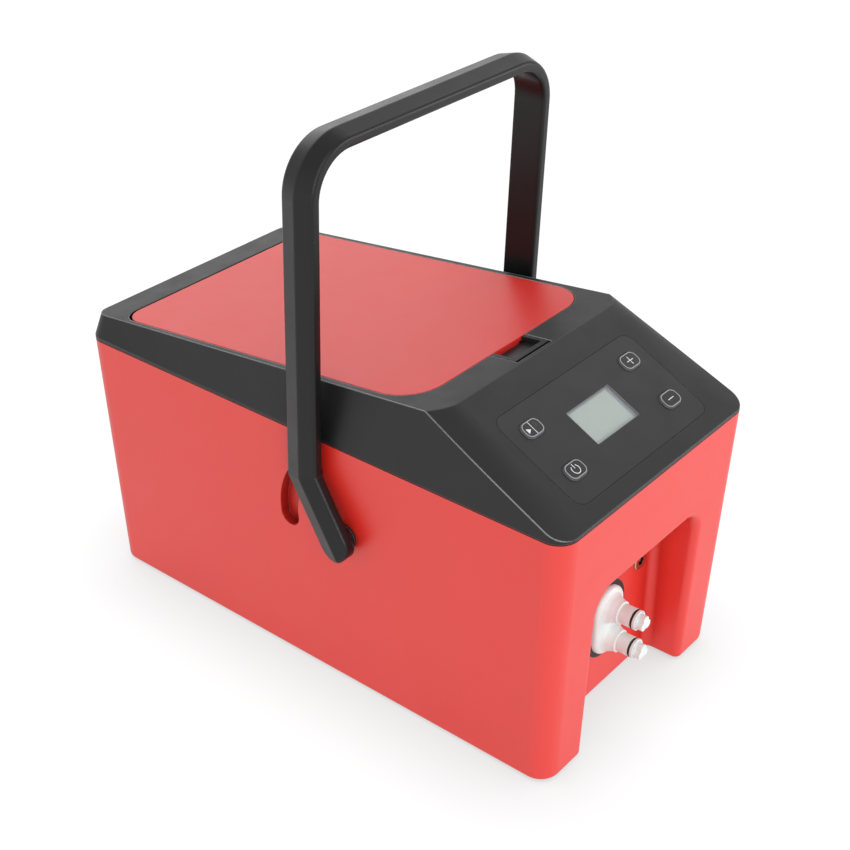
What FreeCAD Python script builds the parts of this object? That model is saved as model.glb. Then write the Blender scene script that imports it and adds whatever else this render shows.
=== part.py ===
import FreeCAD, Part
import math
import os

from FreeCAD import Placement, Rotation, Vector

# Hot and cold therapy machine: an insulated water tank in a red case, with a sloping
# control panel, two quick couplings in an arch at the front and a carrying bail.
# X is the width, -Y the front, Z up.  The origin is on the floor under the middle of
# the case.  Lengths are in millimetres.

X_AXIS = Vector(1, 0, 0)
Y_AXIS = Vector(0, 1, 0)
Z_AXIS = Vector(0, 0, 1)

# ---------------------------------------------------------------- driving dimensions
# Case
case_length = 390.0
case_width = 199.0
shell_height = 181.3
foot_height = 1.5
side_draft = 4.2
front_draft = 7.3
rear_draft = 2.8
corner_radius = 13.6
wall = 3.0
shell_edge_radius = 3.0

# Top cover
cover_rim_height = 1.5
crease_back = 90.7
crease_height = 47.9
top_drop = 33.0
cover_rear_inset = 2.4
cover_side_inset_rear = 7.7
cover_side_inset_front = 5.6
cover_rear_corner_radius = 9.0
cover_front_corner_radius = 4.0
roll_margin_crease = 24.5
roll_margin_front = 19.5
roll_drop_crease = 5.7
roll_drop_front = 1.4
locating_rib_height = 4.0
locating_rib_width = 1.5

# Front arch recess
arch_half_width = 56.0
arch_height = 123.0
arch_corner_radius = 16.0
arch_depth = 33.4
arch_inner_fillet = 6.0
arch_edge_radius = 5.0

# Lid and its seat
lid_side_margin = 11.0
lid_setback = 22.9
lid_rear_setback = 23.8
lid_thickness = 3.0
lid_front_radius = 26.0
lid_rear_radius = 15.0
lid_gap = 0.5
lid_rear_gap = 2.0
lid_corner_relief = 3.0
lid_tab_half_width = 11.5
lid_tab_depth = 9.0
lid_tab_thickness = 2.5
ledge_thickness = 2.5
gasket_thickness = 1.5
gasket_width = 5.5
hinge_inset = 3.6
hinge_depth = 3.9
hinge_pin_radius = 1.0
hinge_knuckle_radius = 2.2
hinge_knuckle_width = 12.0
hinge_ear_width = 4.0
hinge_offset = 55.0
hinge_skin = 1.4
plug_depth = 22.0
plug_wall = 1.8

# Latch
latch_half_width = 17.0
latch_setback = 4.3
latch_travel = 2.0
latch_gap = 0.4
latch_plate = 2.5
latch_pocket_half_width = 14.0
latch_front_strip = 3.5
latch_depth = 9.5
latch_floor = 1.2
latch_wall = 1.5
latch_post_rise = 3.2
latch_post_length = 1.2
latch_floor_rise = 3.0
latch_spring_radius = 2.2
latch_nose_reach = 0.2
housing_wall = 1.6
housing_rear_wall = 1.0

# Tank
tank_side_margin = 23.5
tank_front_margin = 126.0
tank_rear_margin = 47.0
tank_floor = 30.0
tank_wall = 2.5
tank_corner_radius = 20.0
tank_flange = 6.0
tank_gasket_thickness = 1.2
foam_thickness = 9.0
foam_rear_gap = 8.0
foam_bottom = 13.5
outlet_x = 12.0
return_spigot_x = 40.0
return_spigot_drop = 14.8
spigot_reach = 14.5
lug_room = 3.0
hose_room = 0.8
gland_room = 4.5
probe_x = -30.0
probe_z = 62.0
probe_radius = 3.0
probe_length = 26.0
probe_tip = 2.0
probe_tail = 10.0
gland_radius = 6.5
gland_length = 4.0
strainer_radius = 3.7
strainer_wall = 1.2
strainer_end = 1.5
strainer_length = 18.0
strainer_slots = 4
strainer_slot_start = 3.0
strainer_slot_pitch = 3.5
strainer_slot_width = 1.5

# Control panel
overlay_side_margin = 30.5
overlay_top = 19.9
overlay_bottom = 90.1
overlay_radius = 8.0
overlay_thickness = 0.5
display_width = 44.0
display_top = 40.6
display_bottom = 67.1
display_inset = 0.9
display_thickness = 1.5
button_half_width = 8.2
button_half_length = 5.9
button_corner_radius = 4.9
button_taper = 0.8
button_gap = 0.3
button_flange_radius = 9.7
button_flange_thickness = 1.0
button_travel = 0.6
button_stem_radius = 2.5
button_proud = 1.2
button_inset = 18.5
button_upper_row = 36.7
button_lower_row = 70.8
control_board_side_margin = 5.0
control_board_front_margin = 13.0
control_board_rear_margin = 14.0
control_board_radius = 2.0
boss_front_shift = 8.0
boss_rear_shift = 9.0
chip_left = -34.0
chip_side = 14.0
chip_height = 2.0
display_chip_left = -8.0
display_chip_side = 12.0
display_chip_gap = 2.0
display_chip_height = 1.5
board_plug_half_width = 6.0
board_plug_half_length = 4.0
board_plug_inset = 2.0
board_plug_shift = 4.25
switch_body_radius = 3.2
switch_stem_radius = 1.7
board_drop = 9.0
board_thickness = 1.6
board_boss_radius = 3.0
board_boss_clearance = 1.8
switch_height = 3.5
switch_stem_height = 4.85
lcd_glass_thickness = 2.6
board_plug_height = 6.0

# Couplings
coupling_x = 0.0
coupling_lower_height = 46.3
coupling_spacing = 22.5
barrel_radius = 6.6
barrel_bore = 3.0
barrel_reach = 20.7
nose_length = 2.2
nose_counterbore = 5.7
nose_counterbore_depth = 1.8
o_ring_room = 2.6
o_ring_section = 0.7
shoulder_radius = 8.8
coupling_body_radius = shoulder_radius - 1.5
shoulder_length = 3.4
plate_thickness = 4.0
plate_half_width = 15.3
plate_half_height = 24.7
plate_rise = 0.8
bezel_thickness = 2.4
bezel_half_width = 20.5
bezel_half_height = 27.8
barb_radius = 3.2
barb_length = 12.0
barb_bore = 2.2
poppet_reach = 4.4
poppet_lobe_radius = 5.4
poppet_lobe_end = 3.0
poppet_rim_reach = 0.4
poppet_stem_radius = 1.4
poppet_stem_length = 14.0
poppet_guide = 6.0
poppet_guide_thickness = 1.2

# Power jack
jack_x = 40.0
jack_height = 80.0
jack_bore = 2.75
jack_barrel_radius = 4.5
jack_ring_radius = 6.5
jack_depth = 9.0
jack_pin_radius = 1.0
jack_ring_thickness = 1.6
jack_tail = 8.0
jack_nut_thickness = 2.5

# Handle
pivot_setback = 160.7
pivot_drop = 63.1
handle_width = 23.7
handle_side_clearance = 3.9
handle_ridge_thickness = 10.3
handle_rear_thickness = 6.7
handle_front_thickness = 7.1
handle_ridge_offset = -1.1
handle_outer_radius = 2.5
handle_inner_radius = 2.5
handle_rear_radius = 1.2
handle_post_setback = 178.4
handle_post_reference = 118.7
handle_lean = 2.31
handle_top_rise = 192.2
handle_bend_radius = 35.0
handle_kink_drop = 22.8
hub_radius = 9.0
pivot_pin_radius = 4.0
pivot_running_clearance = 0.05
pivot_bush_radius = 6.0
pivot_flange_radius = 8.5
pivot_flange_thickness = 1.2
pivot_boss_radius = 11.0
pivot_boss_depth = 7.0
retainer_radius = 7.0
retainer_thickness = 1.5

# Guide slots and pegs beside the handle
guide_radius = 47.5
guide_width = 15.0
guide_depth = 7.0
guide_wall = 2.4
guide_low_angle = -5.5
handle_swing = 65.0
peg_radius = 6.6
peg_reach = 5.2
peg_stem_radius = 3.0
peg_stem_depth = 4.0

# Pump, driver board and hoses
pump_side_margin = 51.5
pump_setback = 67.0
pump_height = 34.0
motor_radius = 18.0
motor_length = 40.0
terminal_place = 32.0
terminal_rise = 3.0
head_radius = 24.0
head_length = 16.0
head_wall = 2.5
pump_cover_thickness = 3.0
impeller_radius = 17.0
impeller_height = 6.0
impeller_gap = 1.0
impeller_disc = 2.0
impeller_hub_radius = 4.0
blade_thickness = 1.6
blade_inset = 0.5
saddle_setback = 4.0
saddle_length = 10.0
saddle_half_width = 13.0
motor_bevel = 3.0
motor_end_wall = 6.0
terminal_half_width = 4.0
terminal_half_length = 5.0
impeller_blades = 6
pump_spigot_length = 14.0
supply_loop_rise = 34.0
shaft_radius = 1.5
hose_wall = 1.8
hose_bend_radius = 9.5
clip_width = 5.0
power_lead_bend = 4.0
motor_lead_bend = 5.0
panel_lead_bend = 8.0
panel_lead_drop = 14.0
lead_radius = 1.4
board_margin = 11.5
board_setback = 43.0
board_length = 52.0
board_bottom = 26.0
board_height = 100.0
board_post_radius = 3.5
driver_plug_depth = 4.0
driver_plug_half = 5.0
power_plug_setback = 13.0
motor_plug_setback = 10.0
motor_plug_drop = 22.0
panel_plug_setback = 33.0
panel_plug_drop = 10.0
capacitor_radius = 5.0
capacitor_length = 14.0
capacitor_inset = 12.0
capacitor_low_rise = 19.0
capacitor_high_rise = 34.0
relay_depth = 7.0
relay_side = 14.0
relay_setback = 6.0
relay_rise = 18.0
sink_depth = 10.0
sink_length = 20.0
sink_height = 16.0
sink_inset = 26.0
sink_rise = 50.0

# Floor
base_side_margin = 27.5
base_front_margin = 45.0
base_rear_margin = 30.0
base_radius = 10.0
base_lip = 8.0
base_lip_thickness = 2.0
foot_radius = 8.0
foot_stem_radius = 3.0
screw_radius = 1.6
screw_head_radius = 3.2
screw_sink = 1.8
short_screw = 6.0
board_screw = 7.0
cover_screw_bite = 9.0
vent_rows = 7
vent_pitch = 9.0
vent_half_length = 30.0
vent_half_width = 1.5
vent_end_radius = 1.4

# Bosses and lugs
lug_height = 8.0
lug_drop = 8.0
lug_radius = 5.5
base_boss_radius = 4.5
base_boss_height = 6.0

# Clearances
cut_reach = 5.0
touch = 0.3
slide_gap = 0.1
fine = 0.05
plug_gap = 0.3

# ---------------------------------------------------------------- derived places
half_length = case_length / 2
half_width = case_width / 2
base_z = foot_height
seam_z = base_z + shell_height
crease_y = -half_length + crease_back
crease_z = seam_z + crease_height
top_rear_y = half_length - cover_rear_inset
top_slope = math.degrees(math.atan2(top_drop, top_rear_y - crease_y))
panel_slope = math.degrees(math.atan2(crease_height - cover_rim_height, crease_back))
panel_length = crease_back / math.cos(math.radians(panel_slope))
top_frame = Placement(Vector(0, crease_y, crease_z), Rotation(X_AXIS, -top_slope))
panel_frame = Placement(Vector(0, crease_y, crease_z), Rotation(X_AXIS, panel_slope))
slope_run = math.cos(math.radians(top_slope))

lid_half_width = half_width - lid_side_margin
lid_front_s = lid_setback
lid_rear_s = (top_rear_y - crease_y) / slope_run - lid_rear_setback
hinge_s = lid_rear_s - hinge_inset
ledge_depth = lid_thickness + gasket_thickness + touch
ledge_bottom = ledge_depth + ledge_thickness
flange_top = ledge_bottom + tank_gasket_thickness
hinge_reach = math.hypot(hinge_inset, hinge_depth)
trough_depth = hinge_depth + hinge_reach + touch
trough_front_s = lid_rear_s - hinge_inset - 2 * hinge_knuckle_radius - 2.0
trough_wall = 2.0
plug_clearance = plug_gap + (lid_thickness + plug_depth) * math.sin(math.radians(top_slope))

tank_half_width = half_width - tank_side_margin
tank_front = -half_length + tank_front_margin
tank_rear = half_length - tank_rear_margin
overlay_half_width = half_width - overlay_side_margin
button_offset = overlay_half_width - button_inset
board_boss_offset = button_offset + button_flange_radius + board_boss_clearance
roll_flat_crease = half_width - roll_margin_crease
roll_flat_front = half_width - roll_margin_front

back_wall_y = -half_length + arch_depth
back_wall_inner_y = back_wall_y + wall
arch_top_z = base_z + arch_height

pivot_y = -half_length + pivot_setback
pivot_z = seam_z - pivot_drop
handle_inner_half_width = half_width + handle_side_clearance
handle_post_y = -half_length + handle_post_setback
handle_reference_z = seam_z + handle_post_reference
handle_top_z = seam_z + handle_top_rise
handle_kink_z = seam_z - handle_kink_drop
handle_end_radius = handle_width / 2

supply_z = base_z + coupling_lower_height + coupling_spacing
return_z = base_z + coupling_lower_height
jack_z = base_z + jack_height
return_spigot_z = seam_z - return_spigot_drop
pump_x = -half_width + pump_side_margin
pump_y = -half_length + pump_setback
pump_z = pump_height
board_x = half_width - board_margin
board_front = -half_length + board_setback
board_rear = board_front + board_length
board_top = board_bottom + board_height

base_half_width = half_width - base_side_margin
base_front = -half_length + base_front_margin
base_rear = half_length - base_rear_margin


# ---------------------------------------------------------------- shape helpers
def box(x0, x1, y0, y1, z0, z1):
    """Box between two corners."""
    return Part.makeBox(x1 - x0, y1 - y0, z1 - z0, Vector(x0, y0, z0))


def bar(radius, start, end):
    """Round bar from one point to another."""
    return Part.makeCylinder(radius, (end - start).Length, start, end - start)


def sleeve(outer, inner, start, end):
    """Round tube from one point to another."""
    return bar(outer, start, end).cut(bar(inner, start, end))


def join(shapes):
    """One solid from shapes that overlap or share faces."""
    whole = shapes[0].fuse(shapes[1:]) if len(shapes) > 1 else shapes[0]
    return whole.removeSplitter()


def placed(shape, frame):
    """The shape moved from a frame's own axes to the case's."""
    moved = shape.copy()
    moved.Placement = frame.multiply(moved.Placement)
    return moved


def rounded_polygon(corners, radii, height=0.0):
    """Closed wire through corners in a level plane, each rounded by its radius or left sharp at 0."""
    bends = []
    for index, corner in enumerate(corners):
        here = Vector(corner[0], corner[1], height)
        if radii[index] == 0:
            bends.append((here, None, here))
            continue
        before = Vector(*corners[index - 1], height)
        after = Vector(*corners[(index + 1) % len(corners)], height)
        to_before = (before - here).normalize()
        to_after = (after - here).normalize()
        half_angle = to_before.getAngle(to_after) / 2
        reach = radii[index] / math.tan(half_angle)
        bisector = (to_before + to_after).normalize()
        cut_back = radii[index] / math.sin(half_angle) - radii[index]
        bends.append((here + to_before * reach, here + bisector * cut_back, here + to_after * reach))
    edges = []
    for index, (start, middle, end) in enumerate(bends):
        edges.append(Part.makeLine(bends[index - 1][2], start))
        if middle is not None:
            edges.append(Part.Arc(start, middle, end).toShape())
    return Part.Wire(edges)


def rectangle(half_x, y_front, y_rear, front_radius, rear_radius, height=0.0):
    """Rounded rectangle, even about the middle plane."""
    corners = [(-half_x, y_front), (half_x, y_front), (half_x, y_rear), (-half_x, y_rear)]
    return rounded_polygon(corners, [front_radius, front_radius, rear_radius, rear_radius], height)


def plate(wire, thickness):
    """Flat plate that stands up from a level wire."""
    return Part.Face(wire).extrude(Vector(0, 0, thickness))


def oval(half_x, half_z, y0, y1, centre_x, centre_z):
    """Upright round-ended pad between two depths."""
    half_straight = half_z - half_x
    lower = Vector(centre_x, y0, centre_z - half_straight)
    upper = Vector(centre_x, y0, centre_z + half_straight)
    depth = Vector(0, y1 - y0, 0)
    middle = box(centre_x - half_x, centre_x + half_x, y0, y1, lower.z, upper.z)
    return join([middle, bar(half_x, lower, lower + depth), bar(half_x, upper, upper + depth)])


def turned(profile, origin, axis):
    """Solid turned from (along, radius) points about an axis."""
    points = [Vector(0, radius, along) for along, radius in profile]
    outline = Part.makePolygon(points + [points[0]])
    solid = Part.Face(outline).revolve(Vector(0, 0, 0), Z_AXIS, 360)
    return placed(solid, Placement(origin, Rotation(Z_AXIS, axis)))


def route(points, radius):
    """Wire of straight runs joined by tangent arcs."""
    edges = []
    last = points[0]
    for before, here, after in zip(points, points[1:], points[2:]):
        to_before = (before - here).normalize()
        to_after = (after - here).normalize()
        half_angle = to_before.getAngle(to_after) / 2
        reach = radius / math.tan(half_angle)
        bisector = (to_before + to_after).normalize()
        middle = here + bisector * (radius / math.sin(half_angle) - radius)
        start = here + to_before * reach
        end = here + to_after * reach
        edges.append(Part.makeLine(last, start))
        edges.append(Part.Arc(start, middle, end).toShape())
        last = end
    edges.append(Part.makeLine(last, points[-1]))
    return Part.Wire(edges)


def tube(points, bend_radius, outer, inner=0.0):
    """Hose or lead along a route."""
    path = route(points, bend_radius)
    start = points[0]
    aim = points[1] - points[0]
    solid = Part.Wire(path).makePipeShell([Part.Wire(Part.makeCircle(outer, start, aim))], True, False)
    if inner > 0:
        hollow = Part.Wire(path).makePipeShell([Part.Wire(Part.makeCircle(inner, start, aim))], True, False)
        solid = solid.cut(hollow)
    return solid


def screw(head, aim, length, head_height=1.8):
    """Pan-head screw whose head's underside is at a point."""
    aim = Vector(aim).normalize()
    profile = [(-head_height, 0), (-head_height, screw_head_radius - 0.6),
               (-head_height + 0.6, screw_head_radius), (0, screw_head_radius), (0, screw_radius),
               (length - 1.2, screw_radius), (length, 0.4), (length, 0)]
    return turned(profile, head, aim)


# ---------------------------------------------------------------- case outline
def shell_half_width(z, inset=0.0):
    """Half the case's width at a height under the seam."""
    return half_width - side_draft * (seam_z - z) / shell_height - inset


def shell_outline(z, inset=0.0):
    """Outline of the red shell at a height, drawn in by an inset."""
    share = (seam_z - z) / shell_height
    front = -half_length + front_draft * share + inset
    rear = half_length - rear_draft * share - inset
    radius = max(corner_radius - inset, 1.0)
    return rectangle(shell_half_width(z, inset), front, rear, radius, radius, z)


def shell_form(inset, bottom, top):
    """Solid inside the shell's drafted sides between two heights."""
    return Part.makeLoft([shell_outline(bottom, inset), shell_outline(top, inset)], True, True)


def arch_outline(grow, y):
    """Arch in an upright plane: straight sides down past the floor, rounded shoulders."""
    side = arch_half_width + grow
    top = arch_top_z + grow
    radius = arch_corner_radius + grow
    below = -10.0
    shoulder = radius * (1 - math.cos(math.radians(45)))
    points = [Vector(-side, y, below), Vector(-side, y, top - radius), Vector(-side + radius, y, top),
              Vector(side - radius, y, top), Vector(side, y, top - radius), Vector(side, y, below)]
    left = Part.Arc(points[1], Vector(-side + shoulder, y, top - shoulder), points[2])
    right = Part.Arc(points[3], Vector(side - shoulder, y, top - shoulder), points[4])
    edges = [Part.makeLine(points[0], points[1]), left.toShape(), Part.makeLine(points[2], points[3]),
             right.toShape(), Part.makeLine(points[4], points[5]), Part.makeLine(points[5], points[0])]
    return Part.Wire(edges)


def arch_void(grow, back):
    """The space inside the arch, from before the case to a back wall."""
    front = -half_length - 20.0
    solid = Part.Face(arch_outline(grow, front)).extrude(Vector(0, back - front, 0))
    corners = [edge for edge in solid.Edges if is_upright_at(edge, back)]
    return solid.makeFillet(arch_inner_fillet + grow, corners)


def is_upright_at(edge, y):
    """True for an upright straight edge at a depth."""
    ends = [vertex.Point for vertex in edge.Vertexes]
    level = abs(ends[0].y - y) < 0.01 and abs(ends[-1].y - y) < 0.01
    return level and abs(ends[0].x - ends[-1].x) < 0.01 and abs(ends[0].z - ends[-1].z) > 10


def guide_centre(angle):
    """Point of the guide slot's centre line at an angle from straight back."""
    turn = math.radians(angle)
    return Vector(0, pivot_y + guide_radius * math.cos(turn), pivot_z + guide_radius * math.sin(turn))


def guide_bar(grow, x0, x1):
    """Curved bar that follows the guide slot, with round ends."""
    start_angle = guide_low_angle
    end_angle = guide_low_angle + handle_swing
    half = guide_width / 2 + grow
    centre = Vector(x0, pivot_y, pivot_z)
    arc_ring = sleeve(guide_radius + half, guide_radius - half, centre, centre + Vector(x1 - x0, 0, 0))
    reach = guide_radius + half + 10
    spokes = []
    for angle in (start_angle, (start_angle + end_angle) / 2, end_angle):
        turn = math.radians(angle)
        stretch = reach / math.cos(math.radians(handle_swing / 4))
        spokes.append(centre + Vector(0, math.cos(turn) * stretch, math.sin(turn) * stretch))
    sector = Part.Face(Part.makePolygon([centre] + spokes + [centre])).extrude(Vector(x1 - x0, 0, 0))
    pieces = [arc_ring.common(sector)]
    for angle in (start_angle, end_angle):
        end = guide_centre(angle)
        pieces.append(bar(half, Vector(x0, end.y, end.z), Vector(x1, end.y, end.z)))
    return join(pieces)


def base_outline(grow, z):
    """Outline of the floor's service opening."""
    return rectangle(base_half_width + grow, base_front - grow, base_rear + grow,
                     base_radius + grow, base_radius + grow, z)


def base_screw_places():
    """Screws that hold the base plate."""
    x = base_half_width - base_lip / 2
    lengthwise = [base_front + base_lip / 2, (base_front + base_rear) / 2, base_rear - base_lip / 2]
    inset = base_lip
    rows = [lengthwise[0] + inset, lengthwise[1], lengthwise[2] - inset]
    return [(side * x, y) for side in (-1, 1) for y in rows]


def foot_places():
    """Feet under the corners."""
    rear_y = half_length - rear_draft - corner_radius - 2
    front_x = (arch_half_width + wall + shell_half_width(base_z)) / 2
    front_y = -half_length + front_draft + corner_radius
    return [(-front_x, front_y), (front_x, front_y), (-front_x, rear_y), (front_x, rear_y)]


def cover_screw_places():
    """Screws that hold the cover to the shell's upper corners."""
    x = half_width - wall - corner_radius
    y_front = -half_length + wall + corner_radius
    y_rear = half_length - wall - corner_radius
    return [(-x, y_front), (x, y_front), (-x, y_rear), (x, y_rear)]


def board_screw_places():
    """Screws of the driver board on the shell's right side."""
    inset = 5.0
    return [(y, z) for y in (board_front + inset, board_rear - inset)
            for z in (board_bottom + inset, board_top - inset)]


# ---------------------------------------------------------------- red shell
def make_outer_shell():
    """Drafted red shell with the arch recess, guide slots, pivot bosses and floor."""
    block = round_arch_edge(shell_form(0.0, base_z, seam_z).cut(arch_void(0.0, back_wall_y)))
    bottom_edges = [edge for edge in block.Edges if abs(edge.BoundBox.ZMax - base_z) < 0.01]
    block = block.makeFillet(shell_edge_radius, bottom_edges)
    additions = [arch_void(wall, back_wall_inner_y)]
    for side in (-1, 1):
        x_out = side * (half_width + cut_reach)
        x_in = side * (shell_half_width(pivot_z) - guide_depth - guide_wall)
        additions.append(guide_bar(guide_wall, min(x_out, x_in), max(x_out, x_in)))
        boss_end = Vector(side * (shell_half_width(pivot_z) - pivot_boss_depth), pivot_y, pivot_z)
        additions.append(bar(pivot_boss_radius, boss_end, Vector(x_out, pivot_y, pivot_z)))
    lip = plate(base_outline(base_lip / 2, base_z + wall), base_lip_thickness)
    additions.append(lip.cut(plate(base_outline(-base_lip, base_z), 20)))
    boss_z = base_z + wall
    for x, y in base_screw_places():
        additions.append(bar(base_boss_radius, Vector(x, y, boss_z), Vector(x, y, boss_z + base_boss_height)))
    for x, y in cover_screw_places():
        top = seam_z - lug_drop
        side = 1 if x > 0 else -1
        back = 1 if y > 0 else -1
        lug = bar(lug_radius, Vector(x, y, top - lug_height), Vector(x, y, top))
        corner = Vector(x + side * corner_radius, y + back * corner_radius, 0)
        arm = box(min(x, corner.x), max(x, corner.x), y - lug_radius, y + lug_radius, top - lug_height, top)
        rib = box(x - lug_radius, x + lug_radius, min(y, corner.y), max(y, corner.y), top - lug_height, top)
        additions.extend([lug, arm, rib])
    for y, z in board_screw_places():
        post_start = Vector(board_x + board_thickness, y, z)
        additions.append(bar(board_post_radius, post_start, Vector(half_width, y, z)))
    room = shell_form(wall, base_z + wall, seam_z + 1.0).cut(additions[0].fuse(additions[1:]))
    shell = block.cut(room)
    for side in (-1, 1):
        surface = side * shell_half_width(pivot_z)
        x_out = side * (half_width + cut_reach)
        pocket = surface - side * guide_depth
        shell = shell.cut(guide_bar(0.0, min(x_out, pocket), max(x_out, pocket)))
        outside = Vector(x_out, pivot_y, pivot_z)
        seat = Vector(surface - side * fine * 3, pivot_y, pivot_z)
        bush_start = Vector(surface - side * (pivot_boss_depth + wall), pivot_y, pivot_z)
        shell = shell.cut(bar(pivot_flange_radius + 1, seat, outside))
        shell = shell.cut(bar(pivot_bush_radius, bush_start, outside))
    shell = shell.cut(plate(base_outline(0.0, base_z - 1), wall + 1))
    shell = shell.cut(plate(base_outline(-base_lip, base_z - 1), wall + 10))
    for x, y in base_screw_places():
        hole_top = boss_z + base_boss_height - 1
        shell = shell.cut(bar(screw_radius, Vector(x, y, base_z), Vector(x, y, hole_top)))
    for x, y in foot_places():
        shell = shell.cut(bar(foot_stem_radius, Vector(x, y, base_z - 1), Vector(x, y, base_z + 2.2)))
    for x, y in cover_screw_places():
        shell = shell.cut(bar(screw_radius + 0.3, Vector(x, y, seam_z - 40), Vector(x, y, seam_z)))
    for y, z in board_screw_places():
        hole_end = board_x + board_thickness + 5.0
        shell = shell.cut(bar(screw_radius, Vector(board_x, y, z), Vector(hole_end, y, z)))
    for z in (supply_z, return_z):
        hole = Vector(coupling_x, back_wall_y - 1, z)
        shell = shell.cut(bar(shoulder_radius - 1.5, hole, hole + Vector(0, wall + 2, 0)))
    jack_hole = Vector(jack_x, back_wall_y - 1, jack_z)
    return shell.cut(bar(jack_barrel_radius, jack_hole, jack_hole + Vector(0, wall + 2, 0)))


def round_arch_edge(block):
    """Roll the front edge of the arch."""
    edges = []
    for edge in block.Edges:
        bounds = edge.BoundBox
        near_front = bounds.YMax < -half_length + front_draft + 0.5
        near_arch = bounds.XMax < arch_half_width + 0.1 and bounds.XMin > -arch_half_width - 0.1
        if near_front and near_arch and bounds.ZMax < arch_top_z + 0.1 and bounds.ZMin > base_z - 0.1:
            if bounds.ZMax - bounds.ZMin > 1 or bounds.ZMin > base_z + 20:
                edges.append(edge)
    return block.makeFillet(arch_edge_radius, edges)


def make_base_plate():
    """Floor panel that closes the service opening."""
    panel = plate(base_outline(-touch, base_z), wall)
    for x, y in base_screw_places():
        panel = panel.cut(bar(screw_radius, Vector(x, y, base_z - 1), Vector(x, y, base_z + wall + 1)))
        seat = Vector(x, y, base_z + screw_sink)
        panel = panel.cut(bar(screw_head_radius + 0.2, Vector(x, y, base_z - 1), seat))
    for row in range(vent_rows):
        y = (base_front + base_rear) / 2 + (row - (vent_rows - 1) / 2) * vent_pitch
        slot = rectangle(vent_half_length, y - vent_half_width, y + vent_half_width,
                         vent_end_radius, vent_end_radius, base_z - 1)
        panel = panel.cut(plate(slot, wall + 2))
    return panel


def make_base_screws():
    """Screws up through the base plate."""
    return [screw(Vector(x, y, base_z + screw_sink), Z_AXIS, short_screw) for x, y in base_screw_places()]


def make_rubber_feet():
    """Push-in rubber feet."""
    profile = [(0, 0), (0, foot_radius - 0.8), (0.6, foot_radius), (foot_height, foot_radius),
               (foot_height, foot_stem_radius), (foot_height + 2.2, foot_stem_radius), (foot_height + 2.2, 0)]
    return [turned(profile, Vector(x, y, 0), Z_AXIS) for x, y in foot_places()]


# ---------------------------------------------------------------- top cover
def panel_roll(inset, w):
    """Flat half-width, edge half-width and edge drop of the panel's rolled sides."""
    share = w / panel_length
    flat = roll_flat_crease + (roll_flat_front - roll_flat_crease) * share - inset
    drop = roll_drop_crease + (roll_drop_front - roll_drop_crease) * share
    edge = half_width - cover_side_inset_front * (1 - share)
    return flat, edge, drop


def panel_cutter(inset):
    """Everything above the control panel and its rolled sides."""
    wires = []
    reach = half_width + 20.0
    above = 60.0
    for w in (-30.0, panel_length + 25.0):
        flat, edge, drop = panel_roll(inset, w)
        run = edge - flat
        radius = (run * run + drop * drop) / (2 * drop)
        turn = math.asin(run / radius)
        middle = (flat + radius * math.sin(turn / 2), -radius * (1 - math.cos(turn / 2)))
        far = (reach, -drop - (reach - edge) * math.tan(turn))
        spots = [(-flat, 0.0), (flat, 0.0), (edge, -drop), far, (reach, above), (-reach, above),
                 (-far[0], far[1]), (-edge, -drop)]
        points = [Vector(x, -w, z - inset) for x, z in spots]
        right = Part.Arc(points[1], Vector(middle[0], -w, middle[1] - inset), points[2])
        left = Part.Arc(points[7], Vector(-middle[0], -w, middle[1] - inset), points[0])
        edges = [Part.makeLine(points[0], points[1]), right.toShape()]
        edges += [Part.makeLine(points[i], points[i + 1]) for i in range(2, 7)]
        edges.append(left.toShape())
        wires.append(Part.Wire(edges))
    return placed(Part.makeLoft(wires, True, True), panel_frame)


def cover_form(inset):
    """Solid under the cover's outer faces, drawn in by an inset."""
    rim_z = seam_z + cover_rim_height
    low = shell_outline(seam_z, inset)
    low.translate(Vector(0, 0, rim_z - seam_z))
    rear_half = half_width - cover_side_inset_rear - inset
    front_half = half_width - cover_side_inset_front - inset
    front_s = -crease_back / slope_run + inset
    rear_s = (top_rear_y - crease_y) / slope_run - inset
    corners = [(-front_half, front_s), (front_half, front_s), (rear_half, rear_s), (-rear_half, rear_s)]
    front_radius = max(cover_front_corner_radius - inset, 0.8)
    rear_radius = max(cover_rear_corner_radius - inset, 1.0)
    radii = [front_radius, front_radius, rear_radius, rear_radius]
    high = placed(rounded_polygon(corners, radii, -inset), top_frame)
    upper = Part.makeLoft([low, high], True, True)
    foot = 0.0 if inset == 0 else 1.0
    rim_wire = shell_outline(seam_z, inset)
    rim_wire.translate(Vector(0, 0, -foot))
    rim = plate(rim_wire, cover_rim_height + foot)
    return rim.fuse(upper).removeSplitter().cut(panel_cutter(inset))


def lid_outline(grow, rear_grow, height):
    """Outline of the lid in the top's own frame, grown all round."""
    rear_radius = lid_rear_radius + rear_grow
    if rear_grow > 0:
        rear_radius -= lid_corner_relief
    return rectangle(lid_half_width + grow, lid_front_s - grow, lid_rear_s + rear_grow,
                     lid_front_radius + grow, rear_radius, height)


def mouth_span():
    """Front and rear of the tank's mouth along the top's slope."""
    return (tank_front - crease_y) / slope_run, (tank_rear - crease_y) / slope_run


def mouth_outline(grow, height):
    """Outline of the tank's mouth in the top's own frame."""
    front, rear = mouth_span()
    radius = tank_corner_radius + grow
    return rectangle(tank_half_width + grow, front - grow, rear + grow, radius, radius, height)


def button_places():
    """Name, X and distance down the panel of each button."""
    return [("play_button", -button_offset, button_upper_row),
            ("power_button", -button_offset, button_lower_row),
            ("plus_button", button_offset, button_upper_row),
            ("minus_button", button_offset, button_lower_row)]


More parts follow.
